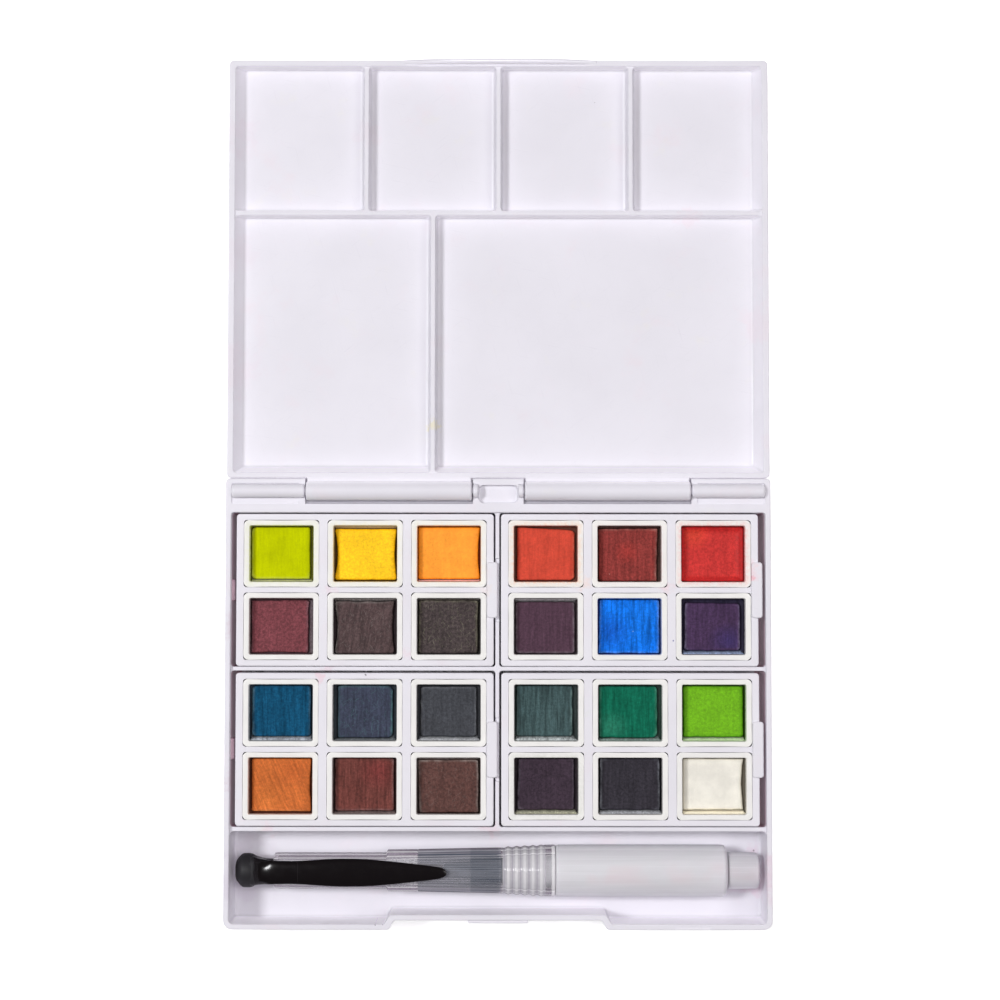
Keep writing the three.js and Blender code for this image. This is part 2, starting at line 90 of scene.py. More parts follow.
def linear(code, gain=1.0):
    """A colour written as rrggbb in sRGB, as linear red, green, blue and alpha."""
    values = []
    for start in (0, 2, 4):
        part = int(code[start:start + 2], 16) / 255
        part = part / 12.92 if part <= 0.04045 else ((part + 0.055) / 1.055) ** 2.4
        values.append(part * gain)
    return (values[0], values[1], values[2], 1.0)


def blend(a, b, t):
    return tuple(p + (q - p) * t for p, q in zip(a, b))


def clamp(value):
    return max(0.0, min(1.0, value))


# Outlines seen from above, and solids lofted through them


def outline(x0, x1, y0, y1, radii, bows=(0, 0, 0, 0), side=1, corner=5):
    """A round-cornered rectangle, anticlockwise from the front left. Radii run front left,
    front right, back right, back left; bows pull the left, right, front and back sides in."""
    if not isinstance(radii, (tuple, list)):
        radii = (radii,) * 4
    front_left, front_right, back_right, back_left = radii
    left, right, front, back = bows
    sides = [
        ((x0 + front_left, y0), (x1 - front_right, y0), (0, front)),
        ((x1, y0 + front_right), (x1, y1 - back_right), (-right, 0)),
        ((x1 - back_right, y1), (x0 + back_left, y1), (0, -back)),
        ((x0, y1 - back_left), (x0, y0 + front_left), (left, 0)),
    ]
    corners = [
        (x1 - front_right, y0 + front_right, front_right, -90),
        (x1 - back_right, y1 - back_right, back_right, 0),
        (x0 + back_left, y1 - back_left, back_left, 90),
        (x0 + front_left, y0 + front_left, front_left, 180),
    ]
    points = []
    for (start, end, pull), (cx, cy, radius, first) in zip(sides, corners):
        for i in range(side):
            t = i / side
            bow = 4 * t * (1 - t)
            x = start[0] + (end[0] - start[0]) * t + pull[0] * bow
            y = start[1] + (end[1] - start[1]) * t + pull[1] * bow
            points.append((x, y))
        for i in range(corner):
            angle = math.radians(first + 90 * i / corner)
            points.append((cx + radius * math.cos(angle), cy + radius * math.sin(angle)))
    return points


def between(points, others, t):
    """An outline part of the way from one to another."""
    return [blend(p, q, t) for p, q in zip(points, others)]


def centred(cx, cy, half_x, half_y, *rest):
    return outline(cx - half_x, cx + half_x, cy - half_y, cy + half_y, *rest)


def filleted(corners, steps=5):
    """A closed outline through (x, y, radius) corners, each one rounded."""
    points = []
    for i, (x, y, radius) in enumerate(corners):
        here = Vector((x, y))
        before = (Vector(corners[i - 1][:2]) - here).normalized()
        after = (Vector(corners[(i + 1) % len(corners)][:2]) - here).normalized()
        half = before.angle(after) / 2
        centre = here + (before + after).normalized() * (radius / math.sin(half))
        first = here + before * (radius / math.tan(half)) - centre
        last = here + after * (radius / math.tan(half)) - centre
        sweep = first.angle_signed(last)
        for step in range(steps + 1):
            turn = -sweep * step / steps
            x_part = first.x * math.cos(turn) - first.y * math.sin(turn)
            y_part = first.x * math.sin(turn) + first.y * math.cos(turn)
            points.append((centre.x + x_part, centre.y + y_part))
    return points


def inset(points, distance):
    """The outline moved inwards by a distance, or outwards by a negative one."""
    moved = []
    for i, point in enumerate(points):
        here = Vector(point)
        one = (here - Vector(points[i - 1])).normalized()
        two = (Vector(points[(i + 1) % len(points)]) - here).normalized()
        normals = Vector((-one.y, one.x)), Vector((-two.y, two.x))
        step = (normals[0] + normals[1]) * (distance / (1 + normals[0].dot(normals[1])))
        moved.append((here.x + step.x, here.y + step.y))
    return moved


def at(points, z):
    return [(x, y, z) for x, y in points]


def loft(rings):
    """Vertices and faces of a closed solid through rings of equal point counts."""
    count = len(rings[0])
    vertices = [point for ring in rings for point in ring]
    faces = [tuple(reversed(range(count)))]
    for level in range(len(rings) - 1):
        start = level * count
        for i in range(count):
            j = (i + 1) % count
            faces.append((start + i, start + j, start + count + j, start + count + i))
    start = (len(rings) - 1) * count
    faces.append(tuple(range(start, start + count)))
    return vertices, faces


def quarter(steps):
    """Angles of a quarter turn."""
    return [math.pi / 2 * i / steps for i in range(steps + 1)]


def circle(sides):
    """The cosine and sine of each angle round a full turn."""
    angles = [2 * math.pi * i / sides for i in range(sides)]
    return [(math.cos(a), math.sin(a)) for a in angles]


def edge_down(radius, z):
    """(inset, z) stations round the lower edge of a wall."""
    return [(radius * (1 - math.sin(a)), z + radius * (1 - math.cos(a))) for a in quarter(3)]


def edge_up(radius, z):
    """(inset, z) stations round the upper edge of a wall."""
    return [(radius * (1 - math.cos(a)), z - radius + radius * math.sin(a)) for a in quarter(3)]


def stacked(points, stations):
    """A solid whose outline is inset at each (inset, z) station."""
    return loft([at(inset(points, distance), z) for distance, z in stations])


def block(points, z0, z1, low, high):
    """A solid under one outline, with rounded lower and upper edges."""
    return stacked(points, edge_down(low, z0) + edge_up(high, z1))


def hollow(points, z0, z1, fillet, lip):
    """A cutter for a hollow, with a filleted floor and a lip rounded outwards at z1."""
    stations = edge_down(fillet, z0)
    stations += [(-distance, z) for distance, z in edge_up(lip, z1 + LIP_LIFT)]
    return stacked(points, stations + [(-lip, z1 + 2)])


def bar(y, z, stations, sides=48):
    """A turned bar along X through (x, radius) stations."""
    turns = circle(sides)
    return loft([[(x, y + radius * c, z + radius * s) for c, s in turns] for x, radius in stations])


def hinge_bar(ends, radius, rounding, sides=48):
    """A bar on the hinge's axis, with rounded ends."""
    x0, x1 = ends
    first = [(x0 + rounding * (1 - math.cos(a)), radius - rounding * (1 - math.sin(a))) for a in quarter(4)]
    last = [(x1 + x0 - x, r) for x, r in reversed(first)]
    return bar(HINGE_Y, HINGE_Z, first + last, sides)


def sleeve(y, z, stations, sides, radius_at):
    """A closed profile of (x, radius) stations turned about X: a tube with its own bore.
    Also gives how far across the tube each vertex lies, from -1 to 1."""
    vertices, across, faces = [], [], []
    for x, radius in stations:
        for i, (c, s) in enumerate(circle(sides)):
            reach = radius_at(x, radius, 2 * math.pi * i / sides)
            vertices.append((x, y + reach * c, z + reach * s))
            across.append(c)
    for level in range(len(stations)):
        here = level * sides
        there = (level + 1) % len(stations) * sides
        for i in range(sides):
            j = (i + 1) % sides
            faces.append((here + i, here + j, there + j, there + i))
    return (vertices, faces), across


# Turning those into objects


def raw(name, solid):
    vertices, faces = solid
    mesh = bpy.data.meshes.new(name)
    mesh.from_pydata(vertices, [], faces)
    work = bmesh.new()
    work.from_mesh(mesh)
    bmesh.ops.recalc_face_normals(work, faces=work.faces)
    work.to_mesh(mesh)
    work.free()
    made = bpy.data.objects.new(name, mesh)
    bpy.context.scene.collection.objects.link(made)
    return made


def worked(made, solids, operation):
    """The object joined to or cut by other solids, one at a time."""
    for solid in solids:
        tool = raw("tool", solid)
        modifier = made.modifiers.new("work", "BOOLEAN")
        modifier.operation = operation
        modifier.solver = "MANIFOLD"
        modifier.object = tool
        graph = bpy.context.evaluated_depsgraph_get()
        fresh = bpy.data.meshes.new_from_object(made.evaluated_get(graph))
        made.modifiers.clear()
        made.data = fresh
        bpy.data.objects.remove(tool)
    return made


def shown(made, body, look, node):
    """Finishes a piece: metres, smooth shading, its material, its body and the node it replaces."""
    mesh = made.data
    for vertex in mesh.vertices:
        vertex.co *= MM
    mesh.polygons.foreach_set("use_smooth", [True] * len(mesh.polygons))
    mesh.set_sharp_from_angle(angle=SHARP_ANGLE)
    mesh.materials.clear()
    mesh.materials.append(look)
    mesh.update()
    weighted = made.modifiers.new("normals", "WEIGHTED_NORMAL")
    weighted.keep_sharp = True
    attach(made, body)
    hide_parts(node)


# Materials


class Look:
    """One procedural material. Its patterns are laid out in millimetres of the piece."""

    def __init__(self, name):
        self.material = bpy.data.materials.new(name)
        self.material.use_nodes = True
        self.nodes = self.material.node_tree.nodes
        self.links = self.material.node_tree.links
        self.shader = self.nodes["Principled BSDF"]
        texture = self.nodes.new("ShaderNodeTexCoord")
        self.place = self.vector("MULTIPLY", texture.outputs["Object"], (1000, 1000, 1000))

    def put(self, socket, value):
        if isinstance(value, bpy.types.NodeSocket):
            self.links.new(value, socket)
        else:
            socket.default_value = value

    def node(self, kind, inputs, **settings):
        made = self.nodes.new("ShaderNode" + kind)
        for name, value in settings.items():
            setattr(made, name, value)
        for key, value in inputs.items():
            self.put(made.inputs[key], value)
        return made

    def vector(self, operation, a, b):
        made = self.node("VectorMath", {0: a, 1: b}, operation=operation)
        return made.outputs["Value" if operation == "DISTANCE" else "Vector"]

    def number(self, operation, a, b=0.0):
        return self.node("Math", {0: a, 1: b}, operation=operation).outputs[0]

    def times(self, a, b):
        return self.number("MULTIPLY", a, b)

    def plus(self, a, b):
        return self.number("ADD", a, b)

    def size_of(self, value):
        return self.number("ABSOLUTE", value)

    def parts(self, vector):
        """The X, Y and Z of a vector."""
        return tuple(self.node("SeparateXYZ", {0: vector}).outputs)

    def between(self, value, low, high, start=0.0, end=1.0):
        """A smooth step from start to end, as a value goes from low to high."""
        inputs = dict(enumerate((value, low, high, start, end)))
        return self.node("MapRange", inputs, interpolation_type="SMOOTHSTEP").outputs[0]

    def noise(self, scale, detail=3.0, rough=0.5, seed=0.0, spin=0.0):
        """Fractal noise; scale holds cycles per millimetre in X, Y and Z."""
        scale = scale if isinstance(scale, tuple) else (scale,) * 3
        place = self.place
        if spin:
            inputs = {"Vector": place, "Angle": math.radians(spin)}
            place = self.node("VectorRotate", inputs, rotation_type="Z_AXIS").outputs[0]
        shifted = self.vector("ADD", self.vector("MULTIPLY", place, scale), (seed, seed * 0.7, seed * 1.3))
        inputs = {"Vector": shifted, "Scale": 1.0, "Detail": detail, "Roughness": rough}
        return self.node("TexNoise", inputs).outputs[0]

    def varied(self, start, end, *pattern):
        """A value that wanders from start to end with a noise pattern."""
        return self.between(self.noise(*pattern), 0.3, 0.7, start, end)

    def dots(self, spacing, size, share, seed):
        """Small scattered specks: a share of the cells of a Voronoi pattern hold one each."""
        shifted = self.vector("ADD", self.place, (seed, seed * 1.7, 0.0))
        cells = self.node("TexVoronoi", {"Vector": shifted, "Scale": 1 / spacing}).outputs
        split = self.node("SeparateColor", {0: cells["Color"]}).outputs
        inside = self.number("LESS_THAN", cells["Distance"], self.times(split[1], size / spacing))
        return self.times(inside, self.number("LESS_THAN", split[0], share))

    def mix(self, amount, a, b):
        return self.node("Mix", {0: amount, 6: a, 7: b}, data_type="RGBA").outputs[2]

    def scaled(self, colour, factor):
        colour = colour[:3] if isinstance(colour, tuple) else colour
        return self.node("VectorMath", {0: colour, 3: factor}, operation="SCALE").outputs[0]

    def attribute(self, name, output="Fac"):
        return self.node("Attribute", {}, attribute_name=name).outputs[output]

    def spot(self, x, y, radius, soft):
        """A round patch in plan, with an uneven edge."""
        away = self.vector("DISTANCE", self.vector("MULTIPLY", self.place, (1, 1, 0)), (x, y, 0))
        uneven = self.varied(-0.4, 0.4, 1.6 / max(radius, 0.4), 3, 0.6, x)
        reach = self.plus(away, self.times(uneven, radius))
        return self.between(reach, radius * (1 - soft), radius, 1.0, 0.0)

    def bump(self, height, strength, distance):
        inputs = {"Strength": strength, "Distance": distance * MM, "Height": height}
        self.set("Normal", self.node("Bump", inputs).outputs[0])

    def set(self, name, value):
        self.put(self.shader.inputs[name], value)

    def finish(self, colour, roughness):
        self.set("Base Color", colour)
        self.set("Roughness", roughness)
        return self.material


def wall_glow(look, along, across, y_from, y_to):
    """A weak glow on inward faces, which stands in for light through the thin walls."""
    normal = look.node("TexCoord", {}).outputs["Normal"]
    facing_x, facing_y, _ = look.parts(normal)
    x, y, _ = look.parts(look.place)
    if y_from > 0:
        facing_y = look.size_of(facing_y)
    front = look.times(look.between(facing_y, 0.5, 0.95, 0.0, along), look.between(y, y_from, y_to))
    inward = look.times(look.times(facing_x, x), -0.0144)
    ends = look.between(inward, 0.5, 0.95, 0.0, across)
    patchy = look.varied(0.92, 1.06, 0.12, 3, 0.5, 3)
    look.set("Emission Strength", look.times(look.plus(front, ends), patchy))
    look.set("Emission Color", (0.95, 0.9, 0.98, 1))


def case_shade(look, colour, x, y, z):
    """Painted shade: the photo's shade on the trough's floor, and its mauve shade on the walls in the gaps
    beside the trays.
    """
    # Painted shade: the trough's floor a tenth darker low down near the front wall.
    shade = look.times(look.between(z, 5.0, 2.0), look.between(y, -45.0, -49.0))
    colour = look.scaled(colour, look.number("SUBTRACT", 1.0, look.times(shade, 0.1)))
    # Painted mauve shade on the inner walls in the gaps beside the trays, deepening downwards from the rim.
    bay = look.times(look.between(y, -33.6, -32.8), look.between(y, 51.0, 50.0))
    wall = look.times(look.between(x, 68.0, 68.6), look.between(x, 70.35, 70.05))
    edge = look.times(look.times(wall, bay), look.between(z, 14.5, 12.5, 0.0, 0.75))
    return look.mix(edge, colour, linear("c08a9c"))


def plastic(name, code, gain, rough, smudge, specks, stains_and_shades, seed, glow=None):
    """Moulded white plastic with faint flow marks, paint smudges, scuffs and specks, and on the case painted
    shade and shadows.
    """
    look = Look(name)
    if glow:
        wall_glow(look, *glow)
    colour = look.scaled(linear(code, gain), look.varied(0.975, 1.01, 0.045, 3, 0.55, seed))
    x, y, z = look.parts(look.place)
    x = look.size_of(x)
    inside = look.between(x, 71.18, 71.05)
    if name.startswith("case"):
        colour = case_shade(look, colour, x, y, z)
    elif name.startswith("lid"):
        inside = look.between(z, 9.8, 10.6)
    for scale, shift, low, tint, share in (
        (0.09, 7, 0.55, "efdfe6", 1.0), (0.11, 19, 0.6, "f0eddc", 0.6),
    ):
        cloud = look.between(look.noise(scale, 4, 0.6, seed + shift), low, 0.8)
        colour = look.mix(look.times(cloud, smudge * share), colour, linear(tint, gain))
    for index, spin in enumerate((12, 74, -38)):
        lines = look.noise((0.12, 5.0, 0.5), 2, 0.5, seed + index * 3.1, spin)
        colour = look.mix(look.times(look.between(lines, 0.68, 0.74), 0.14), colour, linear("c9c6d0", gain))
    # Paint stains, and on the case also patches of painted shade and shadow.
    for x, y, radius, tint, strength in stains_and_shades:
        spot = look.spot(x, y, radius, 0.5 if radius < 1 else 0.9)
        colour = look.mix(look.times(spot, look.times(inside, strength * 0.85)), colour, linear(tint))
    colour = look.mix(look.times(look.dots(7.0, 0.16, specks, seed), 0.75), colour, linear("6a5a60"))
    grain = look.times(look.noise(2.4, 3, 0.6, seed + 2), 0.5)
    look.bump(look.plus(grain, look.noise(0.35, 2, 0.5, seed + 5)), 0.25, 0.05)
    return look.finish(colour, look.varied(rough - 0.07, rough + 0.08, 0.5, 4, 0.6, seed + 4))


def pan_look():
    """Cream plastic, stained by its paint and darkened with painted shade on the inside, and blushed on the
    rim.
    """
    look = Look("pan_look")
    colour = look.scaled(linear("f6f5f1", 0.95), look.varied(0.96, 1.01, 0.2, 3, 0.5, 3))
    ragged = look.noise((1.1, 1.1, 0.6), 4, 0.65, 11)
    blush = look.times(look.attribute("blush", "Alpha"), look.between(ragged, 0.35, 0.65, 0.15, 1.0))
    colour = look.mix(blush, colour, look.attribute("blush", "Color"))
    # Paint residue and painted shade on the inside wall, deeper towards the cake's foot.
    ragged_stain_and_shade = look.plus(look.attribute("stain_and_shade"), look.between(ragged, 0.2, 0.8, -0.22, 0.22))
    colour = look.mix(look.between(ragged_stain_and_shade, 0.25, 0.8), colour, look.attribute("wall_residue_and_shade", "Color"))
    crumbs = look.times(look.dots(3.2, 0.14, 0.16, 5), 0.55)
    colour = look.mix(crumbs, colour, linear("57504f"))
    look.bump(look.noise(1.6, 3, 0.6, 9), 0.25, 0.05)
    return look.finish(colour, look.varied(0.36, 0.5, 0.8, 3, 0.6, 8))


def paint_look(name, cake, seed):
    """A dried cake: brushed streaks, mottling, scratches and crumbs over its own tones, which carry painted
    shade and glints.
    """
    look = Look("look_of_" + name)
    colour, top = look.attribute("tone", "Color"), look.attribute("top")
    streaks = look.noise((1.3, 0.1, 0.3), 4, 0.62, seed, cake.lean)
    fine = look.noise((4.6, 0.35, 0.5), 3, 0.6, seed + 3, cake.lean)
    mottle = look.noise(1.5, 5, 0.62, seed + 5)
    pores = look.noise(4.5, 3, 0.6, seed + 6)
    streak = 2 * cake.streak
    blotch = cake.grain + 1.5 * cake.mottle
    for pattern, low, high, amount in (
        (streaks, 0.28, 0.72, streak), (fine, 0.3, 0.7, streak * 0.4),
        (mottle, 0.3, 0.7, blotch), (pores, 0.3, 0.7, blotch * 0.6),
    ):
        colour = look.scaled(colour, look.between(pattern, low, high, 1 - amount, 1 + amount))
    colour = look.scaled(colour, look.varied(0.94, 1.07, 0.22, 2, 0.5, seed + 9))
    pale = linear(cake.pale)
    for index, spin in enumerate((98, 56, 147) if cake.scratch else ()):
        lines = look.noise((0.5, 5.5, 0.5), 2, 0.5, seed + 2.3 * index, spin)
        amount = look.times(look.times(look.between(lines, 0.64, 0.72), top), cake.scratch)
        colour = look.mix(amount, colour, pale)
    for share, spacing, size, shift, amount, tint in (
        (cake.crumbs, 2.6, 0.22, 0, 0.7, linear(cake.crumb)), (cake.dust, 1.9, 0.2, 2, 0.5, pale),
    ):
        if share:
            grains = look.times(look.dots(spacing, size, share, seed + shift), top)
            colour = look.mix(look.times(grains, amount), colour, tint)
    height = look.plus(look.times(streaks, 0.5 + 4 * streak), look.times(mottle, 0.7))
    look.bump(look.plus(height, look.times(fine, 0.4)), 0.5, 0.12)
    look.set("Specular IOR Level", cake.specular)
    return look.finish(colour, look.between(mottle, 0.3, 0.7, cake.rough - 0.1, cake.rough + 0.12))


# Case and lid


def mirrored(side, near, far):
    """A stretch of X on the right side, or the same on the left."""
    return sorted((side * near, side * far))


def base_bay(x0, x1, y0, y1, lips):
    """A tray bay. Lips are 1 on the left, right, front and back sides that end at a rib."""
    left, right, front, back = lips
    rings = [at(outline(x0 + d, x1 - d, y0 + d, y1 - d, 0.8), z) for d, z in edge_down(0.6, FLOOR)]
    stations = edge_up(0.22, DIVIDER_TOP + 0.004)
    stations.append((0.22, DIVIDER_TOP + 0.5))
    for d, z in stations:
        rings.append(at(outline(x0 - d * left, x1 + d * right, y0 - d * front, y1 + d * back, 0.8), z))
    return loft(rings)


def base_shell(look):
    outer = filleted([
        (-HALF_WIDTH, -HALF_DEPTH, 2.3), (-RECESS_OUTER, -HALF_DEPTH, 1.0),
        (-RECESS_INNER, -HALF_DEPTH + RECESS_DEPTH, 0.9), (RECESS_INNER, -HALF_DEPTH + RECESS_DEPTH, 0.9),
        (RECESS_OUTER, -HALF_DEPTH, 1.0), (HALF_WIDTH, -HALF_DEPTH, 2.3),
        (HALF_WIDTH, HALF_DEPTH, 1.0), (-HALF_WIDTH, HALF_DEPTH, 1.0),
    ])
    shell = raw("base_shell", block(outer, 0, RIM, 0.8, 0.35))
    front = -HALF_DEPTH + WALL
    trough = filleted([
        (-INNER_X, front, 1.3), (-RECESS_OUTER - 1.2, front, 1.1),
        (-RECESS_INNER - 1.2, front + RECESS_DEPTH, 1.1), (RECESS_INNER + 1.2, front + RECESS_DEPTH, 1.1),
        (RECESS_OUTER + 1.2, front, 1.1), (INNER_X, front, 1.3),
        (INNER_X, TROUGH_REAR, 1.1), (-INNER_X, TROUGH_REAR, 1.1),
    ])
    edge = INNER_X - 0.02
    bays = outline(-INNER_X, INNER_X, TROUGH_REAR - 0.9, BAY_REAR, 0.8)
    cuts = [hollow(bays, DIVIDER_TOP, RIM, 0.05, 0.3)]
    for x0, x1, left, right in (
        (-edge, DIVIDER_X - HALF_DIVIDER, 0, 1), (DIVIDER_X + HALF_DIVIDER, edge, 1, 0),
    ):
        cuts.append(base_bay(x0, x1, BAY_MIDDLE + HALF_DIVIDER, BAY_REAR - 0.02, (left, right, 1, 0)))
        cuts.append(base_bay(x0, x1, BAY_FRONT, BAY_MIDDLE - HALF_DIVIDER, (left, right, 1, 1)))
    cuts.append(hollow(trough, FLOOR, RIM, 0.9, 0.3))
    for x0, x1 in ((-50.5, -6.6), (6.6, 50.5)):
        cuts.append(bar(HINGE_Y, HINGE_Z, [(x0, 3.4), (x1, 3.4)]))
        behind = outline(x0, x1, HINGE_Y, HALF_DEPTH + 1, 0.1)
        cuts.append(block(behind, HINGE_Z - 3.4, HINGE_Z + 3, 0.05, 0.05))
    cuts.append(block(outline(-5.2, 5.2, 52.05, 56.85, 1.4), 14.2, 19, 0.6, 0.1))
    for x0, x1 in ((-69.75, -52.0), (52.0, 69.75)):
        cuts.append(block(outline(x0, x1, 51.85, 57.3, 0.4), 15.55, 18, 0.15, 0.1))
    cuts.append(block(outline(45.8, 55.1, -58.3, -57.55, 0.3), 15.82, 17, 0.05, 0.05))
    for y in (REAR_ROW, FRONT_ROW):
        cuts.append(block(outline(-2, 2, y - 8.3, y + 8.3, 0.6), 13.4, 17, 0.2, 0.1))
    worked(shell, cuts, "DIFFERENCE")
    adds = [block(outline(-7.9, 7.9, -57.0, -55.9, (0.5, 0.5, 0.1, 0.1)), 13.2, 15, 0.3, 0.3)]
    for side in (-1, 1):
        for near, far, rounding in ((50.5, 69.6, 0.7), (5.2, 6.6, 0.45)):
            adds.append(hinge_bar(mirrored(side, near, far), 1.85, rounding))
        for near, far in ((47.5, 51.5), (5.6, 9.6)):
            adds.append(hinge_bar(mirrored(side, near, far), 1.0, 0.3, 24))
    for y in (REAR_ROW, FRONT_ROW):
        adds.append(block(outline(-70.3, -69.0, y - 2.8, y + 2.8, (0.1, 0.5, 0.5, 0.1)), 1.2, 13, 0.2, 0.5))
    worked(shell, adds, "UNION")
    shown(shell, "base", look, "case_base")


def lid_well(x0, x1, y0, y1, slopes):
    """A mixing well whose left, right, near and far sides slope in by the given amounts."""
    left, right, near, far = slopes
    floor = RIM - 4.4
    low = outline(x0 + left, x1 - right, y0 + near, y1 - far, 0.9)
    high = outline(x0, x1, y0, y1, 0.9)
    rings = [at(inset(low, 0.75), floor), at(inset(low, 0.3), floor + 0.08)]
    rings += [at(between(low, high, t), floor + rise) for t, rise in ((0.04, 0.3), (0.12, 0.65))]
    stations = ((0, 15.32), (-0.05, 15.43), (-0.15, 15.505), (-0.15, 18))
    return loft(rings + [at(inset(high, distance), z) for distance, z in stations])


def lid_shell(look):
    near, far, half, cross = 58.68, 169.15, 71.0, 128.55
    shell = raw("lid_shell", block(outline(-half, half, near, far, 1.1), 9.6, RIM, 0.8, 0.35))
    inner, rib = half - 1.6, 0.575
    cuts = [hollow(outline(-inner, inner, near + 1.35, far - 1.6, 0.9), 15.5, RIM, 0.05, 0.2)]
    edges = (-inner + 0.1, -34.8, 0.0, 34.8, inner - 0.1)
    for i in range(4):
        x0 = edges[i] + (rib if i else 0)
        x1 = edges[i + 1] - (rib if i < 3 else 0)
        slopes = (0.6 if i else 2.0, 0.6 if i < 3 else 2.0, 0.6, 0.05)
        cuts.append(lid_well(x0, x1, cross + rib, far - 1.7, slopes))
    cuts.append(lid_well(edges[0], -17.2 - rib, near + 1.52, cross - rib, (2.0, 0.6, 1.6, 0.1)))
    cuts.append(lid_well(-17.2 + rib, edges[4], near + 1.52, cross - rib, (0.6, 2.0, 1.6, 0.1)))
    worked(shell, cuts, "DIFFERENCE")
    turns = [i / 20 for i in range(21)]
    curve = [(-26 + 52 * t, far - 1.2 + 0.5 * t * (1 - t)) for t in turns]
    curve += [(26 - 52 * t, far + 0.5 * t * (1 - t)) for t in turns]
    rings = [at(curve, 15)]
    for d, drop in ((0, 0.4), (0.1, 0.15), (0.35, 0.0)):
        rings.append([(x, y, 18 - drop - 1.9 * abs(x / 26) ** 3.5) for x, y in inset(curve, d)])
    adds = [loft(rings)]
    for side in (-1, 1):
        x0, x1 = mirrored(side, 6.9, 50.2)
        roll = raw("roll", hinge_bar((x0, x1), 2.55, 0.55, 64))
        web = outline(x0 + 0.2, x1 - 0.2, HINGE_Y, near + 0.5, 0.1)
        worked(roll, [block(web, 14.05, 15.9, 0.1, 0.3)], "UNION")
        sockets = ((x0 - 1, x0 + 3.5), (x1 - 3.5, x1 + 1))
        worked(roll, [hinge_bar(ends, 1.3, 0.2, 24) for ends in sockets], "DIFFERENCE")
        vertices = [tuple(v.co) for v in roll.data.vertices]
        adds.append((vertices, [tuple(p.vertices) for p in roll.data.polygons]))
        bpy.data.objects.remove(roll)
    worked(shell, adds, "UNION")
    shown(shell, "lid", look, "palette_lid")


# Trays, pans and paint


def pan_places(cx, cy):
    spots = [(column, row) for row in (0.5, -0.5) for column in (-1, 0, 1)]
    return [(cx + column * PAN_PITCH[0], cy + row * PAN_PITCH[1]) for column, row in spots]


def tray_body(name, look):
    cx, cy = TRAY_CENTRES[name]
    line = centred(cx, cy, 33.65, 19.9, 0.9)
    stations = [(0.8, TRAY_BOTTOM), (0.45, TRAY_BOTTOM + 0.12), (0.3, TRAY_BOTTOM + 0.5), (0.0, 8.4)]
    stations += edge_up(0.35, TRAY_TOP)
    body = raw(f"tray_{name}_body", stacked(line, stations))
    pockets = [centred(x, y, 9.85, 8.8, 0.8) for x, y in pan_places(cx, cy)]
    worked(body, [hollow(pocket, 4.0, TRAY_TOP, 0.4, 0.05) for pocket in pockets], "DIFFERENCE")
    tab = outline(cx + 31.8, cx + 34.65, cy - 7.3, cy + 7.3, 0.8)
    worked(body, [block(tab, 14.3, 15.7, 0.15, 0.4)], "UNION")
    shown(body, f"tray_{name}", look, f"tray_{name}")


def colour_layer(mesh, name, values):
    layer = mesh.color_attributes.new(name, "FLOAT_COLOR", "POINT")
    layer.data.foreach_set("color", [part for value in values for part in value])


def number_layer(mesh, name, values):
    layer = mesh.attributes.new(name, "FLOAT", "POINT")
    layer.data.foreach_set("value", values)


class Cake:
    """A dried cake: its gaps to the pan's mouth (left, right, front, back), its colour, the colour
    in the gaps (dark residue with painted shade), the sides with painted glints (edges), and whatever
    else differs from the usual cake below."""

    radii = 0.5
    bows = skew = (0, 0, 0, 0)
    strips, edges, patches = {}, {}, ()
    streak = mottle = grain = 0.06
    lean = scratch = crumbs = dust = 0
    wobble, lumps, dish, bowl = 0.07, 0.05, 0.18, (0.0, 0.2)
    edge, edge_width, pale, crumb = "", 0.12, "b9b4ae", "1f1a18"
    blush, blush_amount = "e4e0dc", 0.18
    rough, specular = 0.62, 0.12

    def __init__(self, gaps, colour, gap, **details):
        self.gaps, self.colour, self.gap = gaps, colour, gap
        vars(self).update(details)


def mouth_of(cx, cy, side):
    return centred(cx, cy, *OPENING, 0.45, (0, 0, 0, 0), side, 6)


def nearness(x, y, box, reach, measure=float):
    """How near a point lies to each side of a box: 1 on it, and 0 from reach inside it."""
    x0, x1, y0, y1 = box
    away = {"left": x - x0, "right": x1 - x, "front": y - y0, "back": y1 - y}
    return {side: max(0.0, 1 - measure(distance) / reach) for side, distance in away.items()}


def strip_shares(x, y, cx, cy, cake):
    """The strips of residue along the walls at a point, as (share, colour); their colours are lightened, as
    painted light.
    """
    box = (cx - OPENING[0], cx + OPENING[0], cy - OPENING[1], cy + OPENING[1])
    near = nearness(x, y, box, 1.3)
    return [(clamp((near[side] - 0.74) * 8), linear(code, STRIP_GAIN)) for side, code in cake.strips.items()]


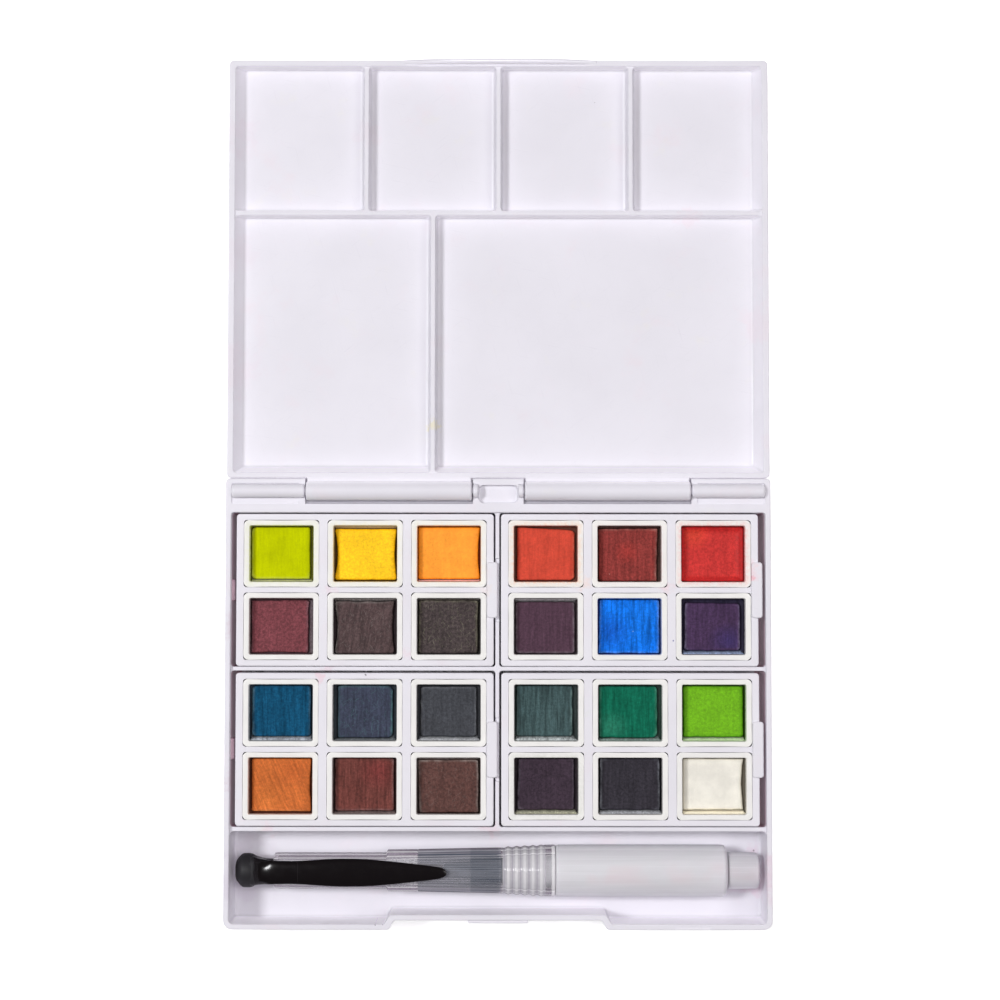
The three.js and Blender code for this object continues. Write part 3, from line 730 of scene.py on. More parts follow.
def pan_cup(name, cx, cy, cake, look):
    """A half pan: bowed outer sides, a round rim, and an inside stained with paint and darkened with painted
    shade.
    """
    outer = centred(cx, cy, 9.83, 8.78, 1.35, (0.05, 0.05, 0.1, 0.1), 8, 6)
    mouth = mouth_of(cx, cy, 8)
    rings = [(outer, 1.2, PAN_BOTTOM), (outer, 0.65, PAN_BOTTOM + 0.1), (outer, 0.5, PAN_BOTTOM + 0.5)]
    rings += [(outer, 0.02, 13.9)]
    rings += [(outer, d, z) for d, z in edge_up(0.1, PAN_TOP)[1:]]
    rings += [(mouth, -0.3, PAN_TOP), (mouth, -0.1, PAN_TOP - 0.07), (mouth, 0, PAN_TOP - 0.3)]
    stains_and_shades = [0.0] * len(rings)
    # Towards the cake's foot the inside wall takes the gap colour: paint residue, and painted shade of the
    # deep gap.
    for d, z, stain_and_shade in (
        (0.04, 13.9, 0.12), (0.07, 13.2, 0.45), (0.1, 12.5, 0.8), (0.14, 11.8, 1.0),
        (0.45, 6.2, 1.0), (0.9, 5.5, 1.0), (1.6, 5.4, 1.0),
    ):
        rings.append((mouth, d, z))
        stains_and_shades.append(stain_and_shade)
    placed = [at(inset(line, d), z) for line, d, z in rings]
    made = raw(f"pan_{name}_cup", loft(placed))
    count = len(outer)
    base = blend(linear(cake.gap, GAP_GAIN), linear(cake.colour), 0.15)
    wall_residues_and_shades = []
    for x, y, _ in (point for ring in placed for point in ring):
        wall_residue_and_shade = base
        # Where strips run, the wall takes their lightened colour: residue with painted light.
        for share, tint in strip_shares(x, y, cx, cy, cake):
            wall_residue_and_shade = blend(wall_residue_and_shade, tint, 0.85 * share)
        wall_residues_and_shades.append(wall_residue_and_shade)
    tint = linear(cake.blush)[:3]
    blushes = [0.15] * (len(rings) - 10) + [0.8] + [1.0] * 9
    number_layer(made.data, "stain_and_shade", [stain_and_shade for stain_and_shade in stains_and_shades for _ in range(count)])
    colour_layer(made.data, "wall_residue_and_shade", wall_residues_and_shades)
    blushes = [(*tint, cake.blush_amount * share) for share in blushes for _ in range(count)]
    colour_layer(made.data, "blush", blushes)
    shown(made, f"pan_{name}", look, f"pan_{name}")


def cake_rim(cx, cy, box, cake, seed):
    """The upper edge of a cake: bowed, skewed and a little uneven, but inside the pan."""
    x0, x1, y0, y1 = box
    skew_left, skew_right, skew_front, skew_back = cake.skew
    rim = []
    for x, y in outline(*box, cake.radii, cake.bows, 10, 6):
        u, v = (x - x0) / (x1 - x0), (y - y0) / (y1 - y0)
        x += (1 - u) * v * skew_left + u * v * skew_right
        y += u * (1 - v) * skew_front + u * v * skew_back
        x += noise.noise((x * 0.5, y * 0.5, seed)) * cake.wobble * 2
        y += noise.noise((x * 0.5, y * 0.5, seed + 9)) * cake.wobble * 2
        most_x, most_y = OPENING[0] - 0.2, OPENING[1] - 0.2
        rim.append((cx + max(-most_x, min(most_x, x - cx)), cy + max(-most_y, min(most_y, y - cy))))
    return rim


def paint_cake(name, cx, cy, cake, look, seed):
    """A dried cake: a block that has shrunk from the walls, and the residue round its foot, with painted
    shade on its sides and foot and painted glints along some edges.
    """
    left, right, front, back = cake.gaps
    x0, x1 = cx - OPENING[0] + left, cx + OPENING[0] - right
    y0, y1 = cy - OPENING[1] + front, cy + OPENING[1] - back
    mid_x, mid_y = (x0 + x1) / 2, (y0 + y1) / 2
    rim = cake_rim(cx, cy, (x0, x1, y0, y1), cake, seed)
    wall = mouth_of(cx, cy, 10)
    paint, gap = linear(cake.colour), linear(cake.gap, GAP_GAIN)
    # Painted shade: the cake's sides take this darker copy of its colour, and its top edge a little of it.
    dark = blend(paint, gap, 0.6)
    count = len(wall)
    rings, tones, tops = [], [], []

    def ring(points, heights, colours, top):
        rings.append([(x, y, z) for (x, y), z in zip(points, heights)])
        tones.extend(colours)
        tops.extend([top] * count)

    def height(x, y, t):
        bowl_height, bowl_width = cake.bowl
        level = CAKE_TOP - cake.dish * (1 - (1 - t) ** 2)
        level += bowl_height * max(0.0, 1 - t / bowl_width) ** 1.5 - bowl_height * 0.6
        return level + cake.lumps * noise.fractal((x * 0.45, y * 0.45, seed), 0.6, 2.0, 3)

    # The foot and the apron round it take the gap colour: dark residue with painted shade, lighter where
    # strips run.
    ring(inset(wall, 0.75), [CAKE_BOTTOM] * count, [gap] * count, 0.0)
    foot = inset(wall, 0.17)
    heights, colours = [], []
    for x, y in foot:
        lift, colour = 0.0, gap
        for share, tint in strip_shares(x, y, cx, cy, cake):
            lift = max(lift, share)
            colour = blend(colour, tint, share)
        heights.append(11.2 + 2.3 * lift + 0.15 * noise.noise((x * 0.4, y * 0.4, seed)))
        colours.append(colour)
    ring(foot, heights, colours, 0.0)
    slope = [11.0 + (z - 11.2) * 0.6 for z in heights]
    ring(between(foot, rim, 0.5), slope, [blend(c, gap, 0.3) for c in colours], 0.0)
    ring(between(rim, foot, 0.12), [10.85] * count, [blend(c, gap, 0.75) for c in colours], 0.0)
    ring(rim, [height(x, y, 0) - 0.55 for x, y in rim], [dark] * count, 0.0)

    # The top's outer edge: its edge colour or a touch of the painted side shade, with painted glints in the
    # pale colour along the sides listed in the cake's edges.
    edge = blend(paint, linear(cake.edge), 0.8) if cake.edge else blend(paint, dark, 0.15)
    edge_tones_with_glints = []
    for x, y in rim:
        near, tone = nearness(x, y, (x0, x1, y0, y1), 0.8, abs), edge
        ragged = 0.6 + 0.8 * noise.noise((x * 0.9, y * 0.9, seed + 4))
        for side, strength in cake.edges.items():
            tone = blend(tone, linear(cake.pale), clamp(1.3 * near[side] * strength * ragged))
        edge_tones_with_glints.append(tone)
    for t, drop in ((0.012, 0.22), (0.035, 0.05), (0.07, 0.0)):
        points = [blend(point, (mid_x, mid_y), t) for point in rim]
        shades = [blend(paint, tone, 1.0 if t < 0.05 else 0.35) for tone in edge_tones_with_glints]
        ring(points, [height(x, y, t) - drop for x, y in points], shades, 0.6)
    for t in (0.11, 0.16, 0.22, 0.3, 0.4, 0.52, 0.66, 0.82, 0.94):
        points = [blend(point, (mid_x, mid_y), t) for point in rim]
        start = blend(linear(cake.edge), paint, min(1.0, t / cake.edge_width)) if cake.edge else paint
        shades = []
        for x, y in points:
            u, v = (x - mid_x) / (x1 - x0) * 2, (y - mid_y) / (y1 - y0) * 2
            tone = start
            for pu, pv, radius, code, strength in cake.patches:
                tone = blend(tone, linear(code), strength * max(0.0, 1 - math.hypot(u - pu, v - pv) / radius))
            shades.append(tone)
        ring(points, [height(x, y, t) for x, y in points], shades, 1.0)
    made = raw(f"cake_{name}", loft(rings))
    colour_layer(made.data, "tone", tones)
    number_layer(made.data, "top", tops)
    shown(made, f"pan_{name}", look, f"paint_{name}")


# The cakes in each tray, from its back left corner
PAINTS = {
    # Rear left tray
    "lime": Cake(
        (0.2, 1.1, 0.75, 0.3), "bbc400", "4a4a1a", radii=(1.3, 0.5, 0.5, 1.3), bows=(-0.35, 0, 0, 0),
        strips={"front": "a3a48c"}, streak=0.03, mottle=0.02, grain=0.015, wobble=0.04, lumps=0.03,
        edges={"left": 0.35, "front": 0.3}, pale="dfe67a", blush="e6ecb4", blush_amount=0.5, specular=0.03,
    ),
    "yellow": Cake(
        (0.2, 0.2, 0.5, 0.7), "ffca21", "3d2c12", radii=0.6, bows=(0.7, 0.5, 0, 0.1),
        strips={"back": "9a948a"}, streak=0.02, mottle=0.03, grain=0.1, wobble=0.05, lumps=0.03,
        edge="f3b70a", crumbs=0.16, crumb="b07a10", blush="f4edc0", blush_amount=0.5,
    ),
    "orange": Cake(
        (0.2, 0.2, 0.75, 0.3), "ffa138", "5a2618", radii=0.4, bows=(0.0, 0.5, 0, 0),
        strips={"front": "c8a9ae"}, streak=0.02, mottle=0.02, wobble=0.04, lumps=0.02, edge="f68f1e",
        blush="f7ebc8", blush_amount=0.5,
    ),
    "plum": Cake(
        (0.2, 1.35, 0.45, 0.45), "773f45", "3b2c30", radii=(0.4, 0.8, 0.8, 0.4), bows=(0.1, 0.15, 0.05, 0.1),
        strips={"right": "575053"}, streak=0.05, mottle=0.16, grain=0.1, wobble=0.12,
        edges={"right": 0.35, "left": 0.2}, pale="b08d95", dust=0.25,
    ),
    "dark_brown": Cake(
        (0.3, 0.7, 0.2, 0.7), "504040", "231c1e", radii=(0.7, 0.7, 0.4, 0.6), bows=(0.5, 0.55, 0, 0.1),
        strips={"back": "8e8a88"}, streak=0.14, mottle=0.12, grain=0.09, lean=10, wobble=0.12,
        edges={"left": 0.55, "back": 0.25}, scratch=0.16,
    ),
    "olive_black": Cake(
        (0.3, 0.7, 0.2, 0.45), "473e3e", "23211f", radii=0.7, bows=(0.1, 0.1, 0, 0.1),
        strips={"back": "807c78"}, streak=0.1, mottle=0.2, grain=0.13, wobble=0.12,
        edges={"left": 0.5, "right": 0.5, "back": 0.3}, pale="8d8b74", scratch=0.4,
    ),
    # Rear right tray
    "vermilion": Cake(
        (0.8, 0.75, 0.45, 0.25), "cb4936", "462a22", radii=(0.4, 1.2, 1.1, 0.4), skew=(0, 0, 0, -0.8),
        streak=0.055, mottle=0.03, wobble=0.06, edges={"right": 0.3}, pale="e88a70", blush="f8cfae",
        blush_amount=0.75,
    ),
    "brick": Cake(
        (0.3, 1.1, 0.25, 0.7), "863632", "33231f", radii=(0.8, 0.3, 0.3, 0.4), skew=(0, 0.3, 0, 0.1),
        strips={"back": "4e403c"}, streak=0.12, mottle=0.14, edges={"right": 0.5, "back": 0.3},
        pale="c08a80", patches=((0.0, 0.1, 0.5, "b03a34", 0.6),), dust=0.12, blush="f2dcd2",
        blush_amount=0.3,
    ),
    "crimson": Cake(
        (0.2, 0.2, 0.2, 0.2), "c33633", "7a1216", radii=0.45, streak=0.05, mottle=0.04, grain=0.12,
        lumps=0.04, bowl=(1.0, 0.24), edge="b0171c", edge_width=0.2,
        patches=((-0.6, 0.7, 0.6, "d9502f", 0.4),), blush="f6bdb6", blush_amount=0.7, rough=0.5,
    ),
    "purple_brown": Cake(
        (0.4, 0.7, 0.3, 0.9), "503846", "2b2427", radii=0.8, strips={"back": "a5a4a6"}, streak=0.08,
        mottle=0.1, edges={"left": 0.5, "right": 0.6, "front": 0.4}, pale="8b8087",
    ),
    "blue": Cake(
        (0.3, 0.35, 0.35, 0.25), "146cd5", "1c2050", radii=0.4, skew=(0.3, 0, 0, 0), streak=0.2, mottle=0.1,
        edges={"left": 0.4, "right": 0.55, "front": 0.35}, pale="7fb2f0",
        patches=((0.6, 0.5, 0.9, "1c7ae8", 0.6), (-0.6, -0.2, 0.8, "1d4fbb", 0.5)), dust=0.3, specular=0.03,
    ),
    "violet": Cake(
        (0.9, 1.1, 1.1, 1.0), "463250", "1d1a28", radii=0.8, skew=(0.15, 0.0, 0, -0.3),
        strips={"front": "8290aa"}, streak=0.12, mottle=0.08, grain=0.12, edges={"left": 0.7, "right": 0.35},
        pale="a79dc0", patches=((0.6, -0.6, 0.8, "2c2a66", 0.5),), dust=0.08,
    ),
    # Front left tray
    "teal": Cake(
        (0.6, 0.7, 1.1, 0.35), "144b6a", "262d35", radii=0.9, strips={"front": "a0a3a8"}, streak=0.16,
        mottle=0.08, grain=0.1, edges={"left": 0.6, "right": 0.2}, pale="7fa9bd", specular=0.03,
    ),
    "blue_grey": Cake(
        (1.1, 1.1, 0.75, 0.35), "3b4051", "23282c", radii=(0.5, 1.5, 1.5, 0.5), strips={"front": "6f7375"},
        streak=0.12, mottle=0.08, grain=0.1, edges={"right": 0.75, "left": 0.3, "back": 0.3}, pale="5f8c8e",
        scratch=0.3,
    ),
    "charcoal": Cake(
        (0.9, 1.1, 1.1, 0.6), "424449", "26272a", radii=0.7, strips={"front": "9d9fa2"}, streak=0.07,
        mottle=0.09, grain=0.12, edges={"left": 0.55, "right": 0.4, "back": 0.4}, pale="85888d",
    ),
    "burnt_orange": Cake(
        (0.6, 0.4, 0.55, 0.35), "c86c34", "40241a", bows=(0, 0.4, 0, 0), streak=0.1, lean=-22,
        edges={"front": 0.4}, pale="e0965c",
        patches=((-0.5, -0.6, 0.7, "d67a3a", 0.6), (0.4, 0.5, 0.8, "b9572a", 0.4)), blush="f3e2d2",
        blush_amount=0.3,
    ),
    "red_brown": Cake(
        (0.5, 0.75, 0.75, 0.25), "6b3b35", "2e1e1e", radii=0.6, strips={"front": "6f6361"}, streak=0.16,
        mottle=0.12, grain=0.07, edges={"left": 0.3, "right": 0.4, "front": 0.35}, pale="a88482",
        patches=((0.5, 0.5, 0.8, "7f3434", 0.6),),
    ),
    "brown": Cake(
        (0.6, 0.55, 0.25, 0.7), "5b3e39", "2b2220", skew=(-0.35, 0, 0, 0), strips={"back": "908b88"},
        streak=0.07, mottle=0.16, edges={"left": 0.5, "right": 0.5, "back": 0.45}, pale="a39892",
        scratch=0.18, dust=0.1,
    ),
    # Front right tray
    "green_grey": Cake(
        (0.6, 1.4, 1.2, 0.3), "3c5051", "232a29", radii=(0.6, 0.9, 0.7, 0.5), strips={"front": "a3a8a8"},
        streak=0.2, mottle=0.08, edges={"right": 0.5, "left": 0.3}, pale="7f9893", scratch=0.1,
    ),
    "emerald": Cake(
        (0.35, 1.1, 0.8, 0.45), "13664e", "23302b", radii=(0.4, 1.3, 1.0, 0.4), strips={"front": "84908c"},
        streak=0.14, mottle=0.07, edges={"left": 0.35, "right": 0.45}, pale="6fb096",
        patches=((-0.6, -0.6, 0.7, "3a8b70", 0.5),), specular=0.03,
    ),
    "leaf_green": Cake(
        (0.45, 0.55, 1.0, 0.35), "70b01e", "26390f", radii=0.6, strips={"front": "b8c6a6"}, streak=0.03,
        mottle=0.03, grain=0.14, lumps=0.03, bowl=(0.25, 0.2), edge="4a8a10", edge_width=0.14,
        blush="e8eeda", blush_amount=0.3,
    ),
    "purple_black": Cake(
        (0.8, 1.0, 1.0, 0.25), "3c303b", "211c20", skew=(0.25, 0, 0, 0), strips={"front": "a6a690"},
        streak=0.07, mottle=0.1, grain=0.14, edges={"left": 0.65, "right": 0.3}, pale="8d8490",
        blush="ccd0c4", blush_amount=0.5,
    ),
    "ink_black": Cake(
        (0.5, 0.45, 1.0, 0.25), "333037", "1c1b1f", strips={"front": "9c9ea2"}, streak=0.08, mottle=0.08,
        grain=0.16, edges={"left": 0.7, "right": 0.7}, pale="8f929a",
    ),
    "cream_white": Cake(
        (0.2, 0.55, 1.05, 0.25), "eae7dc", "4f4a40", radii=0.4, bows=(0, 0.5, 0, 0),
        strips={"front": "d6cfba"}, streak=0.006, mottle=0.006, grain=0.01, lumps=0.01, edge="d9d3c0",
        crumbs=0.06, crumb="a89a80",
    ),
}


# Water brush


def smooth_stations(stations, steps=5):
    """Catmull-Rom curves through rows of numbers."""
    rows = []
    for i in range(len(stations) - 1):
        corners = (stations[max(i - 1, 0)], *stations[i:i + 2], stations[min(i + 2, len(stations) - 1)])
        for step in range(steps):
            t = step / steps
            row = []
            for a, b, c, d in zip(*corners):
                square, cube = 2 * a - 5 * b + 4 * c - d, 3 * b - a - 3 * c + d
                row.append(0.5 * (2 * b + (c - a) * t + square * t * t + cube * t ** 3))
            rows.append(tuple(row))
    rows.append(tuple(stations[-1]))
    return rows


def clip_cap(look):
    """The black end cap: a domed knob on a neck, and the clip's long curved blade."""
    knob = [
        (-68.7, 0.4), (-68.66, 2.3), (-68.45, 2.75), (-67.6, 3.85), (-67.0, 4.32), (-66.5, 4.44),
        (-65.2, 4.46), (-64.5, 4.36), (-63.8, 4.02), (-62.9, 3.66), (-62.0, 3.4), (-61.0, 3.2),
        (-58.9, 3.1), (-58.85, 2.5), (-54.6, 2.45), (-54.5, 2.2),
    ]
    body = raw("brush_clip", bar(BRUSH_Y, BRUSH_Z, knob, 72))
    blade = [
        (-65.4, 3.0, 0.2, 3.6), (-64.6, 3.6, 0.1, 4.1), (-63.8, 3.72, 0.1, 4.45), (-62.9, 3.6, 0.3, 5.1),
        (-61.9, 3.42, 0.9, 5.75), (-60.8, 3.26, 2.2, 6.12), (-59.6, 3.14, 4.3, 6.36),
        (-58.4, 3.06, 5.05, 6.5), (-56.0, 2.98, 5.05, 6.65), (-53.5, 2.97, 5.05, 6.75),
        (-49.0, 3.2, 5.05, 6.9), (-44.0, 3.52, 5.1, 7.05), (-39.5, 3.63, 5.15, 7.15),
        (-34.0, 3.5, 5.5, 7.2), (-28.0, 3.0, 5.95, 7.28), (-22.0, 2.35, 6.15, 7.32), (-17.3, 1.8, 6.3, 7.3),
        (-15.0, 1.42, 6.35, 7.2), (-13.9, 0.95, 6.42, 7.05), (-13.4, 0.4, 6.55, 6.9),
    ]
    rings = []
    for x, half, low, top in smooth_stations(blade):
        ring = []
        for across, up in circle(36):
            y = half * math.copysign(abs(across) ** 0.8, across)
            share = 0.5 + 0.5 * math.copysign(abs(up) ** (0.9 if up > 0 else 0.6), up)
            ring.append((x, BRUSH_Y + y, BRUSH_Z + low + (top - low) * share))
        rings.append(ring)
    worked(body, [loft(rings)], "UNION")
    shown(body, "water_brush", look, "brush_clip_cap")


def plain_radius(x, radius, angle):
    return radius


def fluted_radius(x, radius, angle):
    """The cap's 40 flutes, on its outside between two rings."""
    if -20.9 < x < 0.1 and radius > 5.3:
        return radius - 0.07 + 0.07 * math.cos(40 * angle)
    return radius


def brush_tube(name, stations, look, node, radius_at, sides):
    solid, across = sleeve(BRUSH_Y, BRUSH_Z, stations, sides, radius_at)
    made = raw(name, solid)
    number_layer(made.data, "across", across)
    shown(made, "water_brush", look, node)


def clear_cap(look):
    steps = [
        (-58.6, 4.2), (-58.45, 4.5), (-58.2, 4.62), (-57.6, 4.7), (-43, 4.7), (-29.25, 4.7), (-28.95, 5.3),
        (-28.7, 5.45), (-25, 5.48), (-21.3, 5.5), (-21.0, 5.42), (-20.8, 5.52), (-14, 5.66), (-7, 5.8),
        (-0.4, 5.93), (0.2, 5.95),
    ]
    rings = []
    for step in range(41):
        x = 1.2 + step * 0.26875
        rings.append((x, 6.02 + 0.054 * (x - 1.2) - 0.15 * math.cos((x - 1.6) * 2 * math.pi / 2.15)))
    mouth = [(12.3, 6.66), (14.3, 6.72), (14.75, 6.7), (14.92, 6.5), (14.95, 5.85)]
    bore = [
        (14.7, 5.75), (0.4, 5.0), (-21, 4.6), (-29.4, 3.9), (-43, 3.85), (-57.4, 3.8), (-57.6, 3.6),
        (-57.7, 2.85), (-58.4, 2.75), (-58.6, 2.95),
    ]
    profile = steps + rings + mouth + bore
    brush_tube("brush_cap", profile, look, "brush_clear_cap", fluted_radius, 240)


def barrel(look):
    outside = [
        (2.4, 4.3), (2.6, 4.4), (15.02, 4.4), (15.05, 6.2), (15.25, 6.55), (15.7, 6.72), (30, 6.75),
        (45, 6.75), (58.5, 6.74), (59.1, 6.6), (59.5, 6.25), (59.7, 5.8), (59.95, 5.0),
    ]
    bore = [
        (60.0, 4.4), (57, 4.4), (55.5, 5.75), (36, 5.78), (17, 5.75), (15.5, 3.5), (2.6, 3.42), (2.4, 3.6),
    ]
    brush_tube("brush_reservoir", outside + bore, look, "brush_barrel", plain_radius, 96)


def end_plug(look):
    profile = [
        (54.0, 0.3), (54.05, 3.7), (54.3, 3.9), (60.08, 3.95), (60.12, 4.5), (60.3, 4.76), (60.7, 4.86),
        (64.2, 4.8), (67.3, 4.72), (67.8, 4.6), (68.2, 4.25), (68.4, 3.7), (68.45, 1.2), (68.48, 0.3),
    ]
    made = raw("brush_plug", bar(BRUSH_Y, BRUSH_Z, profile, 72))
    number_layer(made.data, "across", [(v.co.y - BRUSH_Y) / 4.86 for v in made.data.vertices])
    shown(made, "water_brush", look, "brush_end_plug")


def nozzle(look):
    profile = [
        (-14.2, 1.3), (-14.1, 1.62), (-13.8, 1.75), (-7.5, 2.2), (-7.35, 2.4), (-7.2, 2.95), (-7.0, 3.1),
        (-3.2, 3.2), (-3.0, 3.0), (-2.8, 3.22), (1.4, 3.4), (2.1, 3.38), (2.15, 3.1), (12, 3.05),
    ]
    made = raw("brush_nose", bar(BRUSH_Y, BRUSH_Z, profile, 48))
    shown(made, "water_brush", look, "brush_nozzle")


def tuft(look):
    """Nylon bristles: a core, and tapered strands that close to a point."""
    dice = random.Random(21)
    vertices, faces = [], []

    def add(solid):
        start = len(vertices)
        vertices.extend(solid[0])
        faces.extend(tuple(start + i for i in face) for face in solid[1])

    core = [(-33, 0.1), (-31, 0.6), (-26, 1.35), (-20, 1.5), (-14.5, 1.2)]
    add(bar(BRUSH_Y, BRUSH_Z, core, 20))
    for strand in range(90):
        turn, share = dice.uniform(0, 2 * math.pi), math.sqrt(dice.uniform(0.55, 1.0))
        end = dice.uniform(-34, -31.5) + 2.4 * (1 - share)
        rings = []
        for x in (-14.5, -17, -20, -23.5, -26, -29, end):
            spread = 1.72 * share if x > -26 else 1.72 * share * max(0.04, (x + 34.2) / 8.2)
            if x > -20:
                spread = (1.3 + 0.42 * (-14.5 - x) / 5.5) * share
            thick = 0.12 if x > -28 else 0.05
            y, z = BRUSH_Y + spread * math.cos(turn), BRUSH_Z + spread * math.sin(turn)
            five = (0, 1.26, 2.51, 3.77, 5.03)
            rings.append([(x, y + thick * math.cos(a), z + thick * math.sin(a)) for a in five])
        add(loft(list(reversed(rings))))
    made = raw("brush_tuft", (vertices, faces))
    shown(made, "water_brush", look, "brush_bristles")


# Materials of the brush


def black_look():
    look = Look("clip_black")
    along = look.parts(look.place)[0]
    satin = look.between(look.plus(along, look.noise(0.5, 2, 0.5, 4)), -63.6, -62.6, 1.0, 0.0)
    colour = look.mix(satin, linear("0f0b0d"), linear("252427"))
    joint = look.between(look.size_of(look.plus(along, 52.0)), 0.03, 0.12, 0.12, 0.0)
    colour = look.mix(joint, colour, linear("4c474b"))
    colour = look.mix(look.times(look.dots(3.0, 0.12, 0.12, 3), 0.3), colour, linear("77737a"))
    handled = look.between(look.noise(0.5, 4, 0.6, 2), 0.35, 0.75, 0.0, 0.05)
    rough = look.plus(look.times(satin, 0.35), look.plus(handled, 0.16))
    look.set("Specular IOR Level", 0.35)
    look.bump(look.noise(0.5, 2, 0.4, 5), 0.05, 0.02)
    return look.finish(colour, rough)


def clear_look():
    """Thin clear plastic. Its dark edges, the shade and highlights of its rings and its glints are painted
    where they show from above.
    """
    look = Look("cap_clear")
    along = look.parts(look.place)[0]
    across = look.size_of(look.attribute("across"))

    def zone(value, low, high, soft):
        rise = look.between(value, low - soft, low + soft)
        return look.times(rise, look.between(value, high - soft, high + soft, 1.0, 0.0))

    flutes = zone(along, -20.9, 0.8, 0.15)
    tip = zone(along, -7.2, 0.3, 0.2)
    frosted = zone(along, -29.2, -21.0, 0.15)
    rings = zone(along, 1.2, 12.4, 0.2)
    # Painted shade in the rings' grooves, and painted highlights on their ridges and on the lip.
    turns = look.number("COSINE", look.times(look.number("SUBTRACT", along, 1.6), 2.922))
    groove = look.times(rings, look.between(turns, 0.7, 0.95))
    ridge = look.times(rings, look.between(turns, -0.2, -0.8))
    calm = look.number("SUBTRACT", 1.0, look.times(rings, 0.8))
    lip = zone(along, 14.0, 15.2, 0.15)
    # Painted shade: a mauve band and a dark brim where the walls are seen edge on from above, with painted
    # glints inside the band.
    tint = look.times(zone(across, 0.72, 0.985, 0.03), calm)
    brim = look.between(across, 0.965, 0.99)
    glint = look.plus(zone(across, 0.895, 0.93, 0.01), zone(across, 0.72, 0.75, 0.012))
    # Dark lines along the flutes, painted where they show from above.
    lines = look.between(look.number("SINE", look.times(look.attribute("across"), 58.0)), -0.2, 0.5)
    uneven = look.between(look.noise((0.05, 1.1, 1.1), 2, 0.5, 6), 0.35, 0.65, 0.35, 1.0)
    lines = look.times(lines, uneven)
    grains = look.between(look.noise((2.4, 2.4, 2.4), 3, 0.7, 8), 0.4, 0.6)
    plain = look.number("SUBTRACT", 1.0, look.times(flutes, 0.7))

    colour = look.mix(tint, linear("ecebf0"), linear("b3a7b6"))
    drawn = look.times(flutes, lines)
    for amount, code in (
        (look.times(flutes, 0.75), "b9b9c2"), (drawn, "525a66"), (look.times(tip, 0.45), "4b5563"),
        (rings, "e4e2e7"), (groove, "bfbcc4"), (look.plus(ridge, lip), "f6f5f7"),
        (look.times(look.times(glint, plain), calm), "ffffff"), (brim, "7d7480"),
    ):
        colour = look.mix(amount, colour, linear(code))
    parts = (
        (tint, 0.34), (glint, 0.4), (brim, 0.4), (look.times(frosted, grains), 0.22), (frosted, 0.1),
        (drawn, 0.28), (flutes, 0.14), (tip, 0.1), (groove, 0.12), (ridge, 0.08), (rings, 0.42), (lip, 0.5),
    )
    cover = look.varied(0.05, 0.09, 0.4, 3, 0.5, 4)
    for part, weight in parts:
        cover = look.plus(cover, look.times(part, weight))
    look.set("Alpha", look.number("MINIMUM", cover, 0.92))
    look.set("IOR", 1.49)
    look.bump(look.noise((0.3, 1.2, 1.2), 2, 0.5, 5), 0.08, 0.02)
    return look.finish(colour, look.varied(0.06, 0.14, 0.6, 3, 0.6, 3))


def milky_look():
    """Milky plastic with painted shade and light: greyer over the hollow and lighter along both sides, as it
    shows from above.
    """
    look = Look("milky_plastic_look")
    across = look.size_of(look.attribute("across"))
    colour = look.scaled(linear("e2e0e5", 0.96), look.varied(0.97, 1.03, (0.04, 0.5, 0.5), 2, 0.4, 3))
    # Painted shade over the hollow: a rosy tint down the middle.
    rosy_hollow_shade = look.times(look.between(look.noise(0.07, 2, 0.5, 8), 0.42, 0.6), look.between(across, 0.65, 0.2))
    colour = look.mix(look.times(rosy_hollow_shade, 0.45), colour, linear("e9d6db", 0.95))
    # Painted light: a lighter band along each side as seen from above, with a thin darker line in it.
    colour = look.mix(look.times(look.between(across, 0.78, 0.84), 0.8), colour, linear("f1eff4", 0.98))
    dark_side_line = look.between(look.size_of(look.number("SUBTRACT", across, 0.815)), 0.0, 0.02, 0.35, 0.0)
    colour = look.mix(dark_side_line, colour, linear("c4c0ca"))
    drawn = look.between(look.noise((0.02, 2.6, 2.6), 2, 0.5, 12), 0.55, 0.7, 0.0, 0.3)
    colour = look.mix(drawn, colour, linear("eeecf2"))
    look.set("Subsurface Weight", 0.35)
    look.set("Subsurface Radius", (0.003, 0.0025, 0.0028))
    look.set("Subsurface Scale", 1.0)
    colour = look.scaled(colour, look.between(look.parts(look.place)[0], 59.9, 60.2, 1.0, 0.86))
    look.bump(look.noise((0.1, 0.5, 0.5), 2, 0.4, 4), 0.04, 0.02)
    return look.finish(colour, look.varied(0.33, 0.38, 0.12, 2, 0.4, 2))


def nozzle_look():
    look = Look("nozzle_slate")
    colour = look.scaled(linear("4b5464"), look.varied(0.85, 1.12, (0.3, 2.0, 2.0), 3, 0.5, 3))
    look.bump(look.noise(1.0, 3, 0.5, 5), 0.15, 0.03)
    return look.finish(colour, look.varied(0.3, 0.45, 0.6, 3, 0.6, 3))


def tuft_look():
    look = Look("nylon_tuft")
    strands = look.noise((0.1, 6.0, 6.0), 3, 0.6, 4)
    colour = look.scaled(linear("5a4a48"), look.between(strands, 0.3, 0.7, 0.75, 1.3))
    look.bump(strands, 0.3, 0.05)
    return look.finish(colour, look.between(strands, 0.3, 0.7, 0.45, 0.7))


# Building it all

